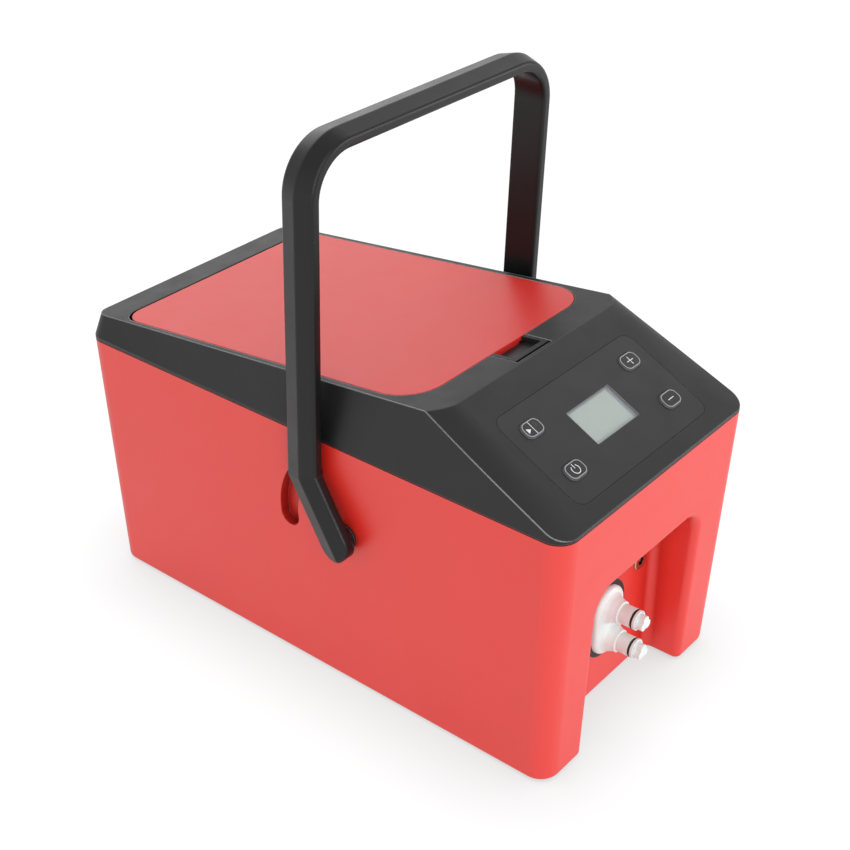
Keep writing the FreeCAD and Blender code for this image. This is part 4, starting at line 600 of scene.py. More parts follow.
DISPLAY_RIM = Finish("display_rim", (0.32, 0.335, 0.355), 0.4, 0.4, grain=Grain.SMOOTH, grain_size=0.6,
                     grain_depth=0.002, tone=0.02)
DISPLAY = DisplayFinish("display_cell", (0.40, 0.46, 0.43))
# The white's slight green-blue cast cancels the red light that the shell bounces onto the white parts: a
# colour shift that stands in for light.
ACETAL = Finish("white_acetal", (0.79, 0.865, 0.85), 0.34, 0.5, grain=Grain.SMOOTH, grain_size=0.8,
                grain_depth=0.006, tone=0.01, edge_radius=0.5, subsurface=0.1)
PALE = Finish("pale_food_plastic", (0.72, 0.74, 0.74), 0.34, 0.5, grain=Grain.SMOOTH, grain_size=1.2,
              grain_depth=0.01, tone=0.02, edge_radius=0.5)
FOAM = Finish("white_foam", (0.80, 0.78, 0.72), 0.8, 0.2, grain=Grain.CELLS, grain_size=1.6, grain_depth=0.25,
              tone=0.04)
RUBBER = Finish("black_rubber", (0.012, 0.012, 0.012), 0.62, 0.3, grain_size=0.9, grain_depth=0.02, tone=0.1)
LEAD = Finish("lead_sleeve", (0.014, 0.014, 0.014), 0.5, 0.35, grain_size=0.6, grain_depth=0.01, tone=0.1)
HOSE = Finish("silicone_hose", (0.68, 0.68, 0.64), 0.35, 0.45, grain=Grain.SMOOTH, grain_size=1.0,
              grain_depth=0.01, tone=0.03, subsurface=0.15)
STEEL = Finish("bright_steel", (0.58, 0.58, 0.59), 0.28, metallic=1.0, grain=Grain.BRUSHED, grain_size=0.4,
               grain_depth=0.004, tone=0.04)
ZINC = Finish("zinc_steel", (0.52, 0.53, 0.55), 0.34, metallic=1.0, grain=Grain.BRUSHED, grain_size=0.6,
              grain_depth=0.006, tone=0.08)
BRASS = Finish("brass", (0.52, 0.40, 0.27), 0.2, metallic=1.0, grain=Grain.SMOOTH, grain_size=0.5,
               grain_depth=0.002, tone=0.03)
CAN = Finish("motor_can", (0.46, 0.46, 0.47), 0.38, metallic=1.0, grain=Grain.BRUSHED, grain_size=0.5,
             grain_depth=0.006, tone=0.06)
BOARD = BoardFinish("circuit_board", (0.012, 0.11, 0.035), (0.03, 0.22, 0.07))


# ---------------------------------------------------------------- making pieces
@dataclass(frozen=True)
class Outline:
    """Rectangle with rounded corners round the middle, in millimetres."""

    half_x: float
    half_y: float
    radius: float
    steps: int = 12


class Maker:
    """Calls that shape and finish a piece."""

    @staticmethod
    def level_faces(form: bmesh.types.BMesh, height: float) -> list[bmesh.types.BMFace]:
        """Faces that lie level at one height.

        Args:
            form: Mesh that is searched.
            height: Height of the faces.

        Returns:
            The faces.
        """
        return [face for face in form.faces
                if all(abs(vert.co.z - height) < SAME_HEIGHT for vert in face.verts)]

    @staticmethod
    def slab(form: bmesh.types.BMesh, outline: Outline, low: float, high: float) -> list[bmesh.types.BMFace]:
        """Rounded slab.

        Args:
            form: Mesh that the slab is added to.
            outline: Its outline, with the steps round each corner.
            low: Height of its underside.
            high: Height of its top.

        Returns:
            Its top face.
        """
        size = Matrix.Diagonal((outline.half_x, outline.half_y, 1.0, 1.0))
        made = bmesh.ops.create_grid(form, x_segments=1, y_segments=1, size=1.0,
                                     matrix=Matrix.Translation((0, 0, low)) @ size)
        bmesh.ops.bevel(form, geom=made["verts"], offset=outline.radius, segments=outline.steps, profile=0.5,
                        affect="VERTICES", material=-1)
        form.faces.ensure_lookup_table()
        grown = bmesh.ops.extrude_face_region(form, geom=Maker.level_faces(form, low)[-1:])
        top = [item for item in grown["geom"] if isinstance(item, bmesh.types.BMFace)]
        lifted = list({vert for face in top for vert in face.verts})
        bmesh.ops.translate(form, verts=lifted, vec=(0, 0, high - low))
        return top

    @staticmethod
    def placed_slab(form: bmesh.types.BMesh, outline: Outline, low: float, high: float, x: float,
                    y: float) -> None:
        """Rounded slab away from the middle.

        Args:
            form: Mesh that the slab is added to.
            outline: Its outline.
            low: Height of its underside.
            high: Height of its top.
            x: Middle of the slab across.
            y: Middle of the slab along.
        """
        before = set(form.verts)
        Maker.slab(form, outline, low, high)
        fresh = [vert for vert in form.verts if vert not in before]
        bmesh.ops.translate(form, verts=fresh, vec=(x, y, 0))

    @staticmethod
    def ring(form: bmesh.types.BMesh, outline: Outline, width: float, low: float, high: float) -> None:
        """Flat ring that follows a rounded outline.

        Args:
            form: Mesh that the ring is added to.
            outline: Its outer outline.
            width: Width of the ring's line.
            low: Height of its underside.
            high: Height of its top.
        """
        top = Maker.slab(form, outline, low, high)[0]
        floor = [face for face in Maker.level_faces(form, low) if len(face.verts) > 4][-1]
        for face in (top, floor):
            bmesh.ops.inset_region(form, faces=[face], thickness=width, use_even_offset=True)
        inner = [*top.edges, *floor.edges]
        bmesh.ops.delete(form, geom=[top, floor], context="FACES_ONLY")
        bmesh.ops.bridge_loops(form, edges=inner)

    @staticmethod
    def lathe(form: bmesh.types.BMesh, profile: Sequence[tuple[float, float]], steps: int = 48) -> None:
        """Turned form round its own Z axis.

        Args:
            form: Mesh that the form is added to.
            profile: Radius and height of each step of the profile.
            steps: Steps round the axis.
        """
        points = [form.verts.new((radius, 0.0, height)) for radius, height in profile]
        edges = [form.edges.new(pair) for pair in zip(points, points[1:])]
        bmesh.ops.spin(form, geom=points + edges, cent=(0, 0, 0), axis=(0, 0, 1), angle=2 * math.pi,
                       steps=steps, use_merge=True)
        bmesh.ops.remove_doubles(form, verts=list(form.verts), dist=TURNED_WELD)

    @staticmethod
    def piece(name: str, form: bmesh.types.BMesh, place: Matrix, finish: NamedFinish, body: str, slot: str,
              stands_for: Sequence[str] = (), sharp: float = 35.0) -> bpy.types.Object:
        """Finished piece with its place in its mesh.

        Args:
            name: Name of the piece.
            form: Its shape, in millimetres, in its own axes.
            place: Placement, in metres.
            finish: Its finish.
            body: Body that it moves with.
            slot: Name of a material slot; not used.
            stands_for: CAD nodes that it stands for.
            sharp: Angle past which an edge stays sharp, in degrees.

        Returns:
            The piece.
        """
        bmesh.ops.remove_doubles(form, verts=list(form.verts), dist=WELD)
        bmesh.ops.recalc_face_normals(form, faces=list(form.faces))
        bmesh.ops.transform(form, matrix=place @ Matrix.Scale(MM, 4), verts=list(form.verts))
        mesh = bpy.data.meshes.new(name)
        form.to_mesh(mesh)
        form.free()
        mesh.shade_smooth()
        mesh.set_sharp_from_angle(angle=math.radians(sharp))
        mesh.materials.append(finish.material())
        made = add_to_scene(name, mesh)
        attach(made, body)
        if stands_for:
            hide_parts(*stands_for)
        LOG.info("%s rides on %s, %d faces", name, body, len(mesh.polygons))
        return made


@dataclass
class SolidParts:
    """Parts whose solids already have their final shape, and what each is finished in."""

    finishes: dict[str, NamedFinish] = field(default_factory=lambda: {
        "outer_shell": RED_SHELL, "base_plate": DARK, "base_screws": ZINC, "rubber_feet": RUBBER,
        "top_cover": CHARCOAL, "cover_screws": ZINC, "hinge_pins": STEEL, "latch_slider": LATCH_BLACK,
        "latch_housing": DARK, "latch_spring": STEEL, "lid_panel": RED_LID, "lid_liner": PALE,
        "lid_foam": FOAM, "lid_gasket": RUBBER, "inner_tank": PALE, "foam_jacket": FOAM,
        "tank_gasket": RUBBER, "intake_strainer": PALE, "temperature_probe": STEEL,
        "panel_overlay": OVERLAY, "lcd_module": DISPLAY, "lcd_frame": DARK, "control_board": BOARD,
        "tact_switches": DARK, "board_screws": ZINC, "driver_board": BOARD, "wiring": LEAD,
        "coupling_bezel": DARK, "supply_coupling": ACETAL, "return_coupling": ACETAL,
        "coupling_o_rings": RUBBER, "supply_poppet": ACETAL, "return_poppet": ACETAL,
        "supply_spring": STEEL, "return_spring": STEEL, "dc_jack": BRASS, "dc_jack_nut": BRASS,
        "pump_motor": CAN, "pump_head": DARK, "pump_cover": DARK, "pump_shaft": STEEL,
        "pump_impeller": PALE, "pump_bracket": RUBBER, "supply_hose": HOSE, "return_hose": HOSE,
        "intake_hose": HOSE, "hose_clips": ZINC, "handle_bail": HANDLE, "pivot_pins": DARK,
        "pivot_bushes": GROOVE, "pivot_retainers": ZINC, "guide_pegs": DARK, "play_button": KEY_FILM,
        "power_button": KEY_FILM, "plus_button": KEY_FILM, "minus_button": KEY_FILM})

    def dress(self) -> None:
        """Give each solid its finish."""
        for name, finish in self.finishes.items():
            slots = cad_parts[name].data.materials
            slots.clear()
            slots.append(finish.material())
        LOG.info("%d solid parts dressed", len(self.finishes))


class Symbol(Enum):
    """Marks on the four keys."""

    PLAY = "play"
    POWER = "power"
    PLUS = "plus"
    MINUS = "minus"


@dataclass
class Key:
    """Print on one key of the control panel: its ring, its grey wall and its mark."""

    symbol: Symbol
    x: float
    down: float
    half_width: float = 8.2
    half_length: float = 5.9
    corner: float = 4.9
    corner_steps: int = 10
    taper: float = 0.8
    proud: float = 1.2
    ring_width: float = 0.6
    ring_depth: float = 0.05
    ink: float = 0.05
    overlap: float = 0.02
    line: float = 0.5
    mark_depth: float = 0.07
    round_end: float = 0.98
    end_steps: int = 4
    plus_reach: float = 3.1
    minus_reach: float = 2.9
    stem_reach: float = 1.7
    stem_rise: float = 2.2
    circle_radius: float = 3.2
    circle_gap: float = 38.0
    circle_steps: int = 40
    divider_share: float = 0.4
    divider_x: float = -0.2
    divider_inset: float = 0.4
    arrow_radius: float = 2.1
    arrow_x: float = -4.2
    arrow_y: float = -0.3
    block_half_width: float = 0.3
    block_reach: float = 1.9
    block_rise: float = 0.9
    block_places: tuple[float, ...] = (2.3, 3.2, 4.1)

    def piece(self, part: str, form: bmesh.types.BMesh, finish: NamedFinish) -> None:
        """Finish one print of the key.

        Args:
            part: Which print it is.
            form: Its shape.
            finish: Its finish.
        """
        name = self.symbol.value + "_key"
        Maker.piece(f"{name}_{part}", form, PANEL.matrix(self.x, -self.down), finish, name, "overlay_film")

    def outline(self, growth: float) -> Outline:
        """The key's own outline, moved outwards all round.

        Args:
            growth: How far it is moved.

        Returns:
            The outline.
        """
        return Outline(self.half_width + growth, self.half_length + growth, self.corner + growth,
                       self.corner_steps)

    def make_ring(self) -> None:
        """Pale ring printed along the rim of the key's face."""
        form = bmesh.new()
        Maker.ring(form, self.outline(self.overlap - self.taper), self.ring_width,
                   self.proud - self.ring_depth, self.proud + self.ink)
        self.piece("ring", form, INK_GREY)

    def past_corner(self, place: float, half: float) -> float:
        """How far a point lies past the middle of its rounded corner.

        Args:
            place: The point along one axis.
            half: The key's reach along that axis.

        Returns:
            The distance, with the point's sign.
        """
        return math.copysign(max(abs(place) - half + self.corner, 0.0), place)

    def make_wall(self) -> None:
        """Grey print down the key's sloping sides."""
        form = bmesh.new()
        top = Maker.slab(form, self.outline(self.ink), self.overlap, self.proud - self.overlap)
        lean = self.taper / self.proud * (self.proud - 2 * self.overlap)
        for vert in top[0].verts:
            outward = Vector((self.past_corner(vert.co.x, self.half_width),
                              self.past_corner(vert.co.y, self.half_length)))
            step = outward.normalized() * -lean
            bmesh.ops.translate(form, verts=[vert], vec=(step.x, step.y, 0.0))
        bmesh.ops.delete(form, geom=top + Maker.level_faces(form, self.overlap), context="FACES_ONLY")
        self.piece("wall", form, INK_WALL)

    def bar(self, form: bmesh.types.BMesh, half_x: float, half_y: float, x: float = 0.0,
            y: float = 0.0) -> None:
        """Printed bar with round ends.

        Args:
            form: Mesh that the bar is added to.
            half_x: Half its width.
            half_y: Half its length.
            x: Middle of the bar across the key.
            y: Middle of the bar up the key.
        """
        outline = Outline(half_x, half_y, min(half_x, half_y) * self.round_end, self.end_steps)
        Maker.placed_slab(form, outline, self.proud - self.mark_depth, self.proud + self.ink, x, y)

    def make_mark(self) -> None:
        """Printed mark in the middle of the key."""
        form = bmesh.new()
        half = self.line / 2
        if self.symbol is Symbol.PLUS:
            self.bar(form, self.plus_reach, half)
            self.bar(form, half, self.plus_reach)
        if self.symbol is Symbol.MINUS:
            self.bar(form, self.minus_reach, half)
        if self.symbol is Symbol.POWER:
            self.bar(form, half, self.stem_reach, 0.0, self.stem_rise)
            self.open_circle(form)
        if self.symbol is Symbol.PLAY:
            reach = self.half_length - self.taper - self.divider_inset
            self.bar(form, self.line * self.divider_share, reach, self.divider_x)
            self.triangle(form)
        self.piece("mark", form, INK_WHITE)

    def open_circle(self, form: bmesh.types.BMesh) -> None:
        """Three quarters of a ring, open towards the rear.

        Args:
            form: Mesh that the ring is added to.
        """
        radius = self.circle_radius
        low = self.proud - self.mark_depth
        high = self.proud + self.ink
        gap = math.radians(self.circle_gap)
        corners = [(radius, low), (radius, high), (radius - self.line, high), (radius - self.line, low)]
        start = Matrix.Rotation(math.pi / 2 + gap, 4, "Z")
        points = [form.verts.new(start @ Vector((r, 0.0, z))) for r, z in corners]
        face = form.faces.new(points)
        bmesh.ops.spin(form, geom=[face, *points, *face.edges], cent=(0, 0, 0), axis=(0, 0, 1),
                       angle=2 * math.pi - 2 * gap, steps=self.circle_steps)

    def triangle(self, form: bmesh.types.BMesh) -> None:
        """Solid triangle in the key's left half.

        Args:
            form: Mesh that the triangle is added to.
        """
        place = Matrix.Translation((self.arrow_x, self.arrow_y, self.proud - self.mark_depth))
        made = bmesh.ops.create_circle(form, cap_ends=True, segments=3, radius=self.arrow_radius,
                                       matrix=place @ Matrix.Rotation(-math.pi / 2, 4, "Z"))
        grown = bmesh.ops.extrude_face_region(form, geom=[made["verts"][0].link_faces[0]])
        lifted = [item for item in grown["geom"] if isinstance(item, bmesh.types.BMVert)]
        bmesh.ops.translate(form, verts=lifted, vec=(0, 0, self.mark_depth + self.ink))

    def make_pause_block(self) -> None:
        """Faint printed bars in the key's right half."""
        form = bmesh.new()
        for across in self.block_places:
            self.bar(form, self.block_half_width, self.block_reach, across, self.block_rise)
        self.piece("bars", form, INK_FAINT)

    def build(self) -> None:
        """Build the key's print."""
        self.make_ring()
        self.make_wall()
        self.make_mark()
        if self.symbol is Symbol.PLAY:
            self.make_pause_block()


@dataclass
class ControlPanel:
    """Film overlay with its moulded outline, display and four keys."""

    key_offset: float = 50.5
    upper_row: float = 36.7
    lower_row: float = 70.8
    outline_half_width: float = 69.0
    outline_top: float = 19.9
    outline_bottom: float = 90.1
    outline_radius: float = 8.0
    groove_reach: float = 0.5
    groove_width: float = 0.7
    groove_foot: float = -0.05
    groove_crest: float = 0.03
    display_width: float = 44.0
    display_top: float = 40.6
    display_bottom: float = 67.1
    display_depth: float = 2.3
    display_steps: int = 3
    wall_gap: float = 0.02
    wall_radius: float = 0.4
    wall_width: float = 0.35
    wall_crest: float = -0.12
    cell_gap: float = 0.05
    cell_radius: float = 0.3
    cell_foot: float = -0.1
    cell_crest: float = 0.3
    rim_foot: float = 0.28
    rim_crest: float = 0.34
    rim_radius: float = 0.1
    side_rim_half_width: float = 1.4
    side_rim_inset: float = 1.8
    rear_rim_half_width: float = 0.5
    rear_rim_inset: float = 0.9
    window_gap: float = 0.4
    window_foot: float = -0.45
    window_crest: float = -0.15

    def make_outline(self) -> None:
        """Fine dark groove round the film."""
        form = bmesh.new()
        half_length = (self.outline_bottom - self.outline_top) / 2
        middle = (self.outline_bottom + self.outline_top) / 2
        outline = Outline(self.outline_half_width + self.groove_reach, half_length + self.groove_reach,
                          self.outline_radius + self.groove_reach)
        Maker.ring(form, outline, self.groove_width, self.groove_foot, self.groove_crest)
        Maker.piece("panel_outline", form, PANEL.matrix(0, -middle), GROOVE, "case", "overlay_film")

    def display_outline(self, gap: float, radius: float) -> Outline:
        """Outline that fits in the display's opening.

        Args:
            gap: Its distance from the opening's edge.
            radius: Its corner radius.

        Returns:
            The outline.
        """
        half_length = (self.display_bottom - self.display_top) / 2
        return Outline(self.display_width / 2 - gap, half_length - gap, radius, self.display_steps)

    def make_display(self) -> None:
        """Sunk display cell with pale side walls under a clear window."""
        place = PANEL.matrix(0, -(self.display_top + self.display_bottom) / 2)
        floor = -self.display_depth
        walls = bmesh.new()
        Maker.ring(walls, self.display_outline(self.wall_gap, self.wall_radius), self.wall_width, floor,
                   self.wall_crest)
        Maker.piece("display_walls", walls, place, DISPLAY_EDGE, "case", "display_glass")
        cell = bmesh.new()
        Maker.slab(cell, self.display_outline(self.cell_gap, self.cell_radius), floor + self.cell_foot,
                   floor + self.cell_crest)
        Maker.piece("display_cell", cell, place, DISPLAY, "case", "display_glass", ["display_window"])
        rim = bmesh.new()
        self.make_rim(rim)
        Maker.piece("display_rim", rim, place, DISPLAY_RIM, "case", "display_glass")
        window = bmesh.new()
        Maker.slab(window, self.display_outline(self.window_gap, self.wall_radius), self.window_foot,
                   self.window_crest)
        Maker.piece("display_cover", window, place, WINDOW, "case", "display_glass")

    def make_rim(self, form: bmesh.types.BMesh) -> None:
        """Dull edges of the cell's glass along its right and rear sides.

        Args:
            form: Mesh that the edges are added to.
        """
        inner = self.display_outline(self.window_gap, self.rim_radius)
        side_x = self.display_width / 2 - self.side_rim_inset
        rear_y = inner.half_y + self.window_gap - self.rear_rim_inset
        side = Outline(self.side_rim_half_width, inner.half_y, self.rim_radius, 2)
        rear = Outline(side_x - self.side_rim_half_width, self.rear_rim_half_width, self.rim_radius, 2)
        for outline, x, y in ((side, side_x, 0.0), (rear, -self.side_rim_half_width, rear_y)):
            Maker.placed_slab(form, outline, self.rim_foot - self.display_depth,
                              self.rim_crest - self.display_depth, x, y)

    def build(self) -> None:
        """Build the panel and its keys."""
        self.make_outline()
        self.make_display()
        for symbol, side, row in ((Symbol.PLAY, -1, self.upper_row), (Symbol.POWER, -1, self.lower_row),
                                  (Symbol.PLUS, 1, self.upper_row), (Symbol.MINUS, 1, self.lower_row)):
            Key(symbol, side * self.key_offset, row).build()


@dataclass
class CoverTrim:
    """Fine pieces of the cover: a black strip of painted shadow under its edge, the latch's finger rest and
    black strips of painted shadow in the well's side gaps.
    """

    half_width: float = 99.499
    half_length: float = 194.998
    corner: float = 13.6
    corner_steps: int = 48
    seam_width: float = 0.5
    seam_height: float = 0.8
    seam_gap: float = 0.1
    rest_half_width: float = 13.95
    rest_front: float = 7.9
    rest_rear: float = 22.3
    rest_depth: float = 3.3
    rest_slope: float = -4.0
    rest_thickness: float = 1.4
    rest_radius: float = 0.8
    rest_steps: int = 5
    dish_steps: tuple[tuple[float, float], ...] = ((0.7, 0.0), (0.5, -0.15), (0.7, -0.15))
    frame_half_width: float = 17.0
    well_gap: float = 0.4
    well_front: float = 2.4
    gap_shadow_share: float = 0.45
    gap_shadow_radius: float = 0.1
    gap_shadow_foot: float = -1.2
    gap_shadow_crest: float = -0.3

    def make_seam_shadow(self) -> None:
        """Black strip under the cover's edge, painted shadow of its lip on the shell."""
        form = bmesh.new()
        edge = Outline(self.half_width, self.half_length, self.corner, self.corner_steps)
        Maker.ring(form, edge, self.seam_width, -self.seam_height - self.seam_gap, -self.seam_gap)
        place = Matrix.Translation((0.0, 0.0, SEAM * MM))
        Maker.piece("seam_shadow_strip", form, place, GROOVE, "case", "black_rubber")

    def make_rest(self) -> None:
        """Dished floor of the latch's finger pocket."""
        form = bmesh.new()
        half_length = (self.rest_rear - self.rest_front) / 2
        middle = (self.rest_rear + self.rest_front) / 2
        rest = Outline(self.rest_half_width, half_length, self.rest_radius, self.rest_steps)
        top = Maker.slab(form, rest, -self.rest_thickness, 0.0)
        for inset, sink in self.dish_steps:
            bmesh.ops.inset_region(form, faces=top, thickness=inset, depth=sink, use_even_offset=True)
        place = TOP.matrix(0.0, middle, -self.rest_depth)
        Maker.piece("latch_rest", form, place @ Matrix.Rotation(math.radians(self.rest_slope), 4, "X"),
                    LATCH_BLACK, "latch", "charcoal_plastic")

    def make_gap_shadow(self) -> None:
        """Black strips down the two side gaps of the latch's well, painted shadow in the gaps."""
        form = bmesh.new()
        half_length = (self.rest_rear - self.well_front) / 2
        middle = (self.rest_rear + self.well_front) / 2
        strip = Outline(self.well_gap * self.gap_shadow_share, half_length, self.gap_shadow_radius, 2)
        across = self.frame_half_width + self.well_gap / 2
        for x in (-across, across):
            Maker.placed_slab(form, strip, self.gap_shadow_foot, self.gap_shadow_crest, x, middle)
        Maker.piece("latch_gap_shadow", form, TOP.matrix(), GROOVE, "case", "black_rubber")

    def build(self) -> None:
        """Build the three pieces."""
        self.make_seam_shadow()
        self.make_rest()
        self.make_gap_shadow()


@dataclass
class CouplingGroup:
    """Moulded plate with soft edges that carries the two hose couplings."""

    face_y: float = -168.0
    thickness: float = 4.0
    half_width: float = 15.3
    half_height: float = 24.7
    round_end: float = 0.985
    end_steps: int = 24
    wall_height: float = -2.2
    dome_steps: tuple[tuple[float, float], ...] = (
        (0.35, 0.8), (0.55, 0.65), (0.8, 0.5), (1.2, 0.4), (2.0, 0.25))
    middle: float = SHELL_BOTTOM + 58.35
    supply: float = SHELL_BOTTOM + 68.8
    back: float = SHELL_BOTTOM + 46.3
    collar_radius: float = 11.4
    shoulder_radius: float = 8.95
    barrel_radius: float = 6.62
    sleeve_wall: float = 1.1
    collar_steps: tuple[tuple[float, float], ...] = ((0.0, -0.3), (-0.9, 0.7))
    shoulder_steps: tuple[tuple[float, float], ...] = ((0.7, 1.6), (0.2, 2.6), (-0.1, 3.6))
    sleeve_steps: tuple[tuple[float, float], ...] = (
        (0.6, 4.8), (0.2, 5.9), (0.0, 6.9), (0.0, 7.9), (-0.3, 8.25))
    sleeve_end: float = 8.3
    turn_steps: int = 56
    sharp: float = 60.0

    def upright(self, height: float) -> Matrix:
        """Placement on the plate's face, with Z towards the front.

        Args:
            height: Height above the floor.

        Returns:
            The placement, in metres.
        """
        origin = Matrix.Translation(Vector((0.0, self.face_y, height)) * MM)
        return origin @ Matrix.Rotation(math.radians(90), 4, "X")

    def make_plate(self) -> None:
        """Round-ended plate with a domed face."""
        form = bmesh.new()
        plate = Outline(self.half_width, self.half_height, self.half_width * self.round_end, self.end_steps)
        top = Maker.slab(form, plate, -self.thickness, self.wall_height)
        for inset, lift in self.dome_steps:
            bmesh.ops.inset_region(form, faces=top, thickness=inset, depth=lift, use_even_offset=True)
        Maker.piece("coupling_face", form, self.upright(self.middle), ACETAL, "case", "white_plastic",
                    ["coupling_plate"], self.sharp)

    def make_collar(self, name: str, height: float) -> None:
        """Soft shoulder where a barrel leaves the plate.

        Args:
            name: Name of the piece.
            height: Height of the barrel's axis.
        """
        form = bmesh.new()
        parts = ((self.collar_radius, self.collar_steps), (self.shoulder_radius, self.shoulder_steps),
                 (self.barrel_radius + self.sleeve_wall, self.sleeve_steps))
        profile = [(radius + change, rise) for radius, steps in parts for change, rise in steps]
        Maker.lathe(form, [*profile, (self.barrel_radius, self.sleeve_end)], self.turn_steps)
        Maker.piece(name, form, self.upright(height), ACETAL, "case", "white_plastic", (), self.sharp)

    def build(self) -> None:
        """Build the plate and its two collars."""
        self.make_plate()
        self.make_collar("supply_collar", self.supply)
        self.make_collar("return_collar", self.back)


@dataclass(frozen=True)
class Lamp:
    """Square soft lamp that faces a point, in metres and watts."""

    name: str
    place: tuple[float, float, float]
    aim: tuple[float, float, float]
    size: float
    power: float

    def build(self) -> None:
        """Put the lamp in the scene."""
        light = bpy.data.lights.new(self.name, "AREA")
        light.shape = "SQUARE"
        light.size = self.size
        light.energy = self.power
        lamp = add_to_scene(self.name, light)
        direction = Vector(self.aim) - Vector(self.place)
        turn = direction.to_track_quat("-Z", "Y").to_matrix().to_4x4()
        lamp.matrix_world = Matrix.Translation(Vector(self.place)) @ turn


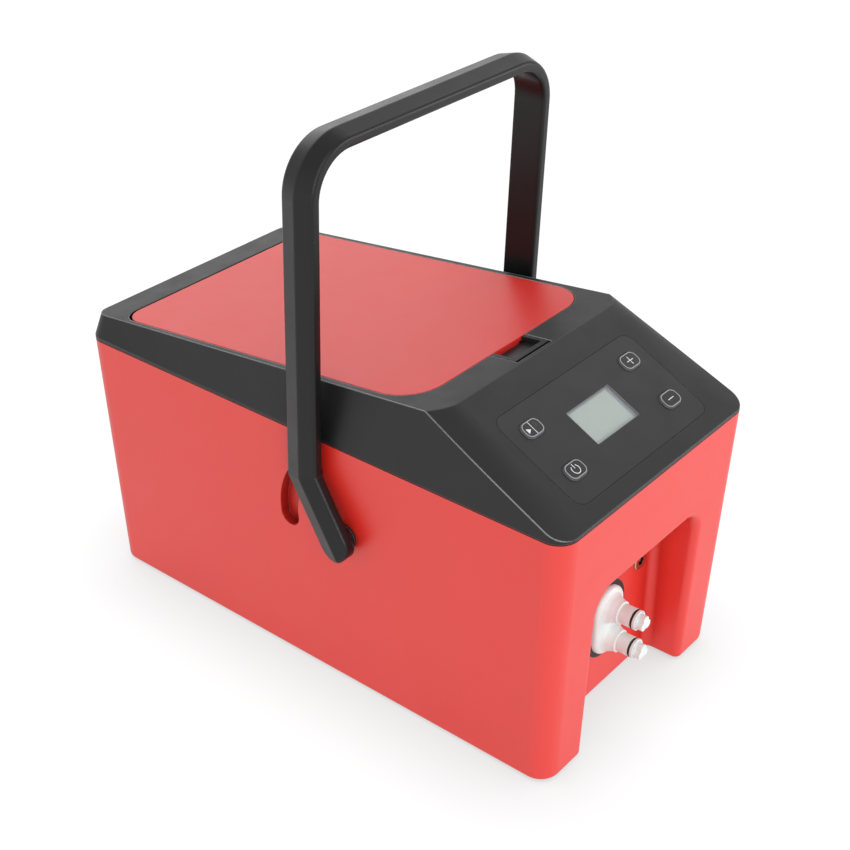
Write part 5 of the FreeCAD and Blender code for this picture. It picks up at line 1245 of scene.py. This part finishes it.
@dataclass
class Studio:
    """Plain pale floor, soft lamps and the camera."""

    camera_place: tuple[float, float, float] = (-661.13, -559.53, 669.04)
    azimuth: float = 50.636
    pitch: float = -31.428
    roll: float = -0.185
    lens: float = 64.96
    sensor: float = 36.0
    sight: float = 30.0
    surround: float = 0.59
    mirrored_white: float = 0.8
    floor_size: float = 6.0
    floor_matt: float = 0.82
    floor_shade: float = 0.08
    floor_glow: float = 0.972
    contact_depth: float = 0.36
    contact_reach: float = 0.075
    contact_start: float = 0.1
    contact_samples: int = 16
    key_direction: tuple[float, float, float] = (0.40, 0.70, -0.56)
    key_spread: float = 50.0
    key_strength: float = 0.86
    lamps: tuple[Lamp, ...] = (
        Lamp("strip_lamp", (-1.0, -1.2, 0.45), (-0.05, -0.1, 0.15), 0.26, 3.4),
        Lamp("side_lamp", (-1.6, 0.35, 0.5), (-0.1, 0.0, 0.15), 1.4, 1.9),
        Lamp("front_lamp", (0.95, -1.15, 0.15), (0.0, -0.19, 0.12), 0.9, 8.0),
        Lamp("right_lamp", (1.25, -0.1, 1.45), (0.0, -0.1, 0.2), 1.0, 3.0),
        Lamp("back_lamp", (0.9, 1.6, 1.25), (0.0, 0.0, 0.2), 1.6, 8.0))

    def make_floor(self) -> None:
        """White floor that keeps the object's soft shadow: the cast shadow in a faint matt veil and a painted
        contact shadow.
        """
        form = bmesh.new()
        bmesh.ops.create_grid(form, x_segments=1, y_segments=1, size=self.floor_size)
        mesh = bpy.data.meshes.new("floor")
        form.to_mesh(mesh)
        form.free()
        mesh.materials.append(self.floor_material())
        floor = add_to_scene("floor", mesh)

    def floor_material(self) -> bpy.types.Material:
        """Matt white for the light, and for the rays that see it a glow that dims near the object as a
        painted contact shadow, over a faint matt veil that keeps the cast shadow.

        Returns:
            The material.
        """
        tree = Tree("studio_floor")
        matt = tree.nodes.new("ShaderNodeBsdfDiffuse")
        matt.inputs["Color"].default_value = (self.floor_matt, self.floor_matt, self.floor_matt, 1.0)
        veil = tree.nodes.new("ShaderNodeBsdfDiffuse")
        veil.inputs["Color"].default_value = (self.floor_shade, self.floor_shade, self.floor_shade, 1.0)
        # Painted contact shadow: the seen glow dims where the object is near, by occlusion.
        nearness = tree.nodes.new("ShaderNodeAmbientOcclusion")
        nearness.samples = self.contact_samples
        nearness.inputs["Distance"].default_value = self.contact_reach
        glow = tree.nodes.new("ShaderNodeEmission")
        tree.link(tree.ranged(nearness.outputs["AO"], self.floor_glow - self.contact_depth, self.floor_glow,
                              self.contact_start, 1.0), glow.inputs["Strength"])
        seen = tree.nodes.new("ShaderNodeAddShader")
        choice = tree.nodes.new("ShaderNodeMixShader")
        tree.link(veil.outputs[0], seen.inputs[0])
        tree.link(glow.outputs[0], seen.inputs[1])
        tree.link(seeing_rays(tree.nodes, tree.links), choice.inputs[0])
        tree.link(matt.outputs[0], choice.inputs[1])
        tree.link(seen.outputs[0], choice.inputs[2])
        tree.link(choice.outputs[0], tree.output.inputs["Surface"])
        return tree.material

    def make_surround(self) -> None:
        """Even light from all round, white where it is seen or mirrored."""
        world = bpy.data.worlds.new("surround")
        bpy.context.scene.world = world
        world.use_nodes = True
        nodes = world.node_tree.nodes
        links = world.node_tree.links
        nodes.clear()
        output = nodes.new("ShaderNodeOutputWorld")
        white = nodes.new("ShaderNodeBackground")
        white.inputs["Color"].default_value = (1.0, 1.0, 1.0, 1.0)
        soft = nodes.new("ShaderNodeBackground")
        soft.inputs["Color"].default_value = (1.0, 1.0, 1.0, 1.0)
        soft.inputs["Strength"].default_value = self.surround
        strength = nodes.new("ShaderNodeMath")
        strength.operation = "MULTIPLY_ADD"
        strength.inputs[1].default_value = 1.0 - self.mirrored_white
        strength.inputs[2].default_value = self.mirrored_white
        links.new(nodes.new("ShaderNodeLightPath").outputs["Is Camera Ray"], strength.inputs[0])
        links.new(strength.outputs[0], white.inputs["Strength"])
        choice = nodes.new("ShaderNodeMixShader")
        links.new(seeing_rays(nodes, links), choice.inputs[0])
        links.new(soft.outputs[0], choice.inputs[1])
        links.new(white.outputs[0], choice.inputs[2])
        links.new(choice.outputs[0], output.inputs["Surface"])

    def make_key(self) -> None:
        """Broad soft light that is even over the whole floor."""
        light = bpy.data.lights.new("key_lamp", "SUN")
        light.angle = math.radians(self.key_spread)
        light.energy = self.key_strength
        lamp = add_to_scene("key_lamp", light)
        lamp.matrix_world = Vector(self.key_direction).to_track_quat("-Z", "Y").to_matrix().to_4x4()

    def make_camera(self) -> None:
        """Camera at the viewing angle."""
        data = bpy.data.cameras.new("camera")
        data.sensor_fit = "HORIZONTAL"
        data.sensor_width = self.sensor
        data.lens = self.lens
        data.clip_end = self.sight
        camera = add_to_scene("camera", data)
        turn = math.radians(self.azimuth)
        pitch = math.radians(self.pitch)
        ahead = Vector((math.cos(pitch) * math.sin(turn), math.cos(pitch) * math.cos(turn), math.sin(pitch)))
        across = Vector((math.cos(turn), -math.sin(turn), 0.0))
        above = across.cross(ahead)
        roll = math.radians(self.roll)
        right = across * math.cos(roll) + above * math.sin(roll)
        up = above * math.cos(roll) - across * math.sin(roll)
        rows = Matrix((right, up, -ahead)).transposed().to_4x4()
        camera.matrix_world = Matrix.Translation(Vector(self.camera_place) * MM) @ rows
        bpy.context.scene.camera = camera

    def build(self) -> None:
        """Build the set."""
        self.make_floor()
        self.make_surround()
        self.make_key()
        for lamp in self.lamps:
            lamp.build()
        self.make_camera()
        bpy.context.scene.view_settings.view_transform = "Standard"


def main() -> None:
    """Dress the solids and build the pieces, the set and the camera."""
    logging.basicConfig(level=logging.INFO, format="%(name)s: %(message)s")
    SolidParts().dress()
    for assembly in (ControlPanel(), CoverTrim(), CouplingGroup(), Studio()):
        LOG.info("building %s", type(assembly).__name__)
        assembly.build()


if __name__ == "__main__":
    main()
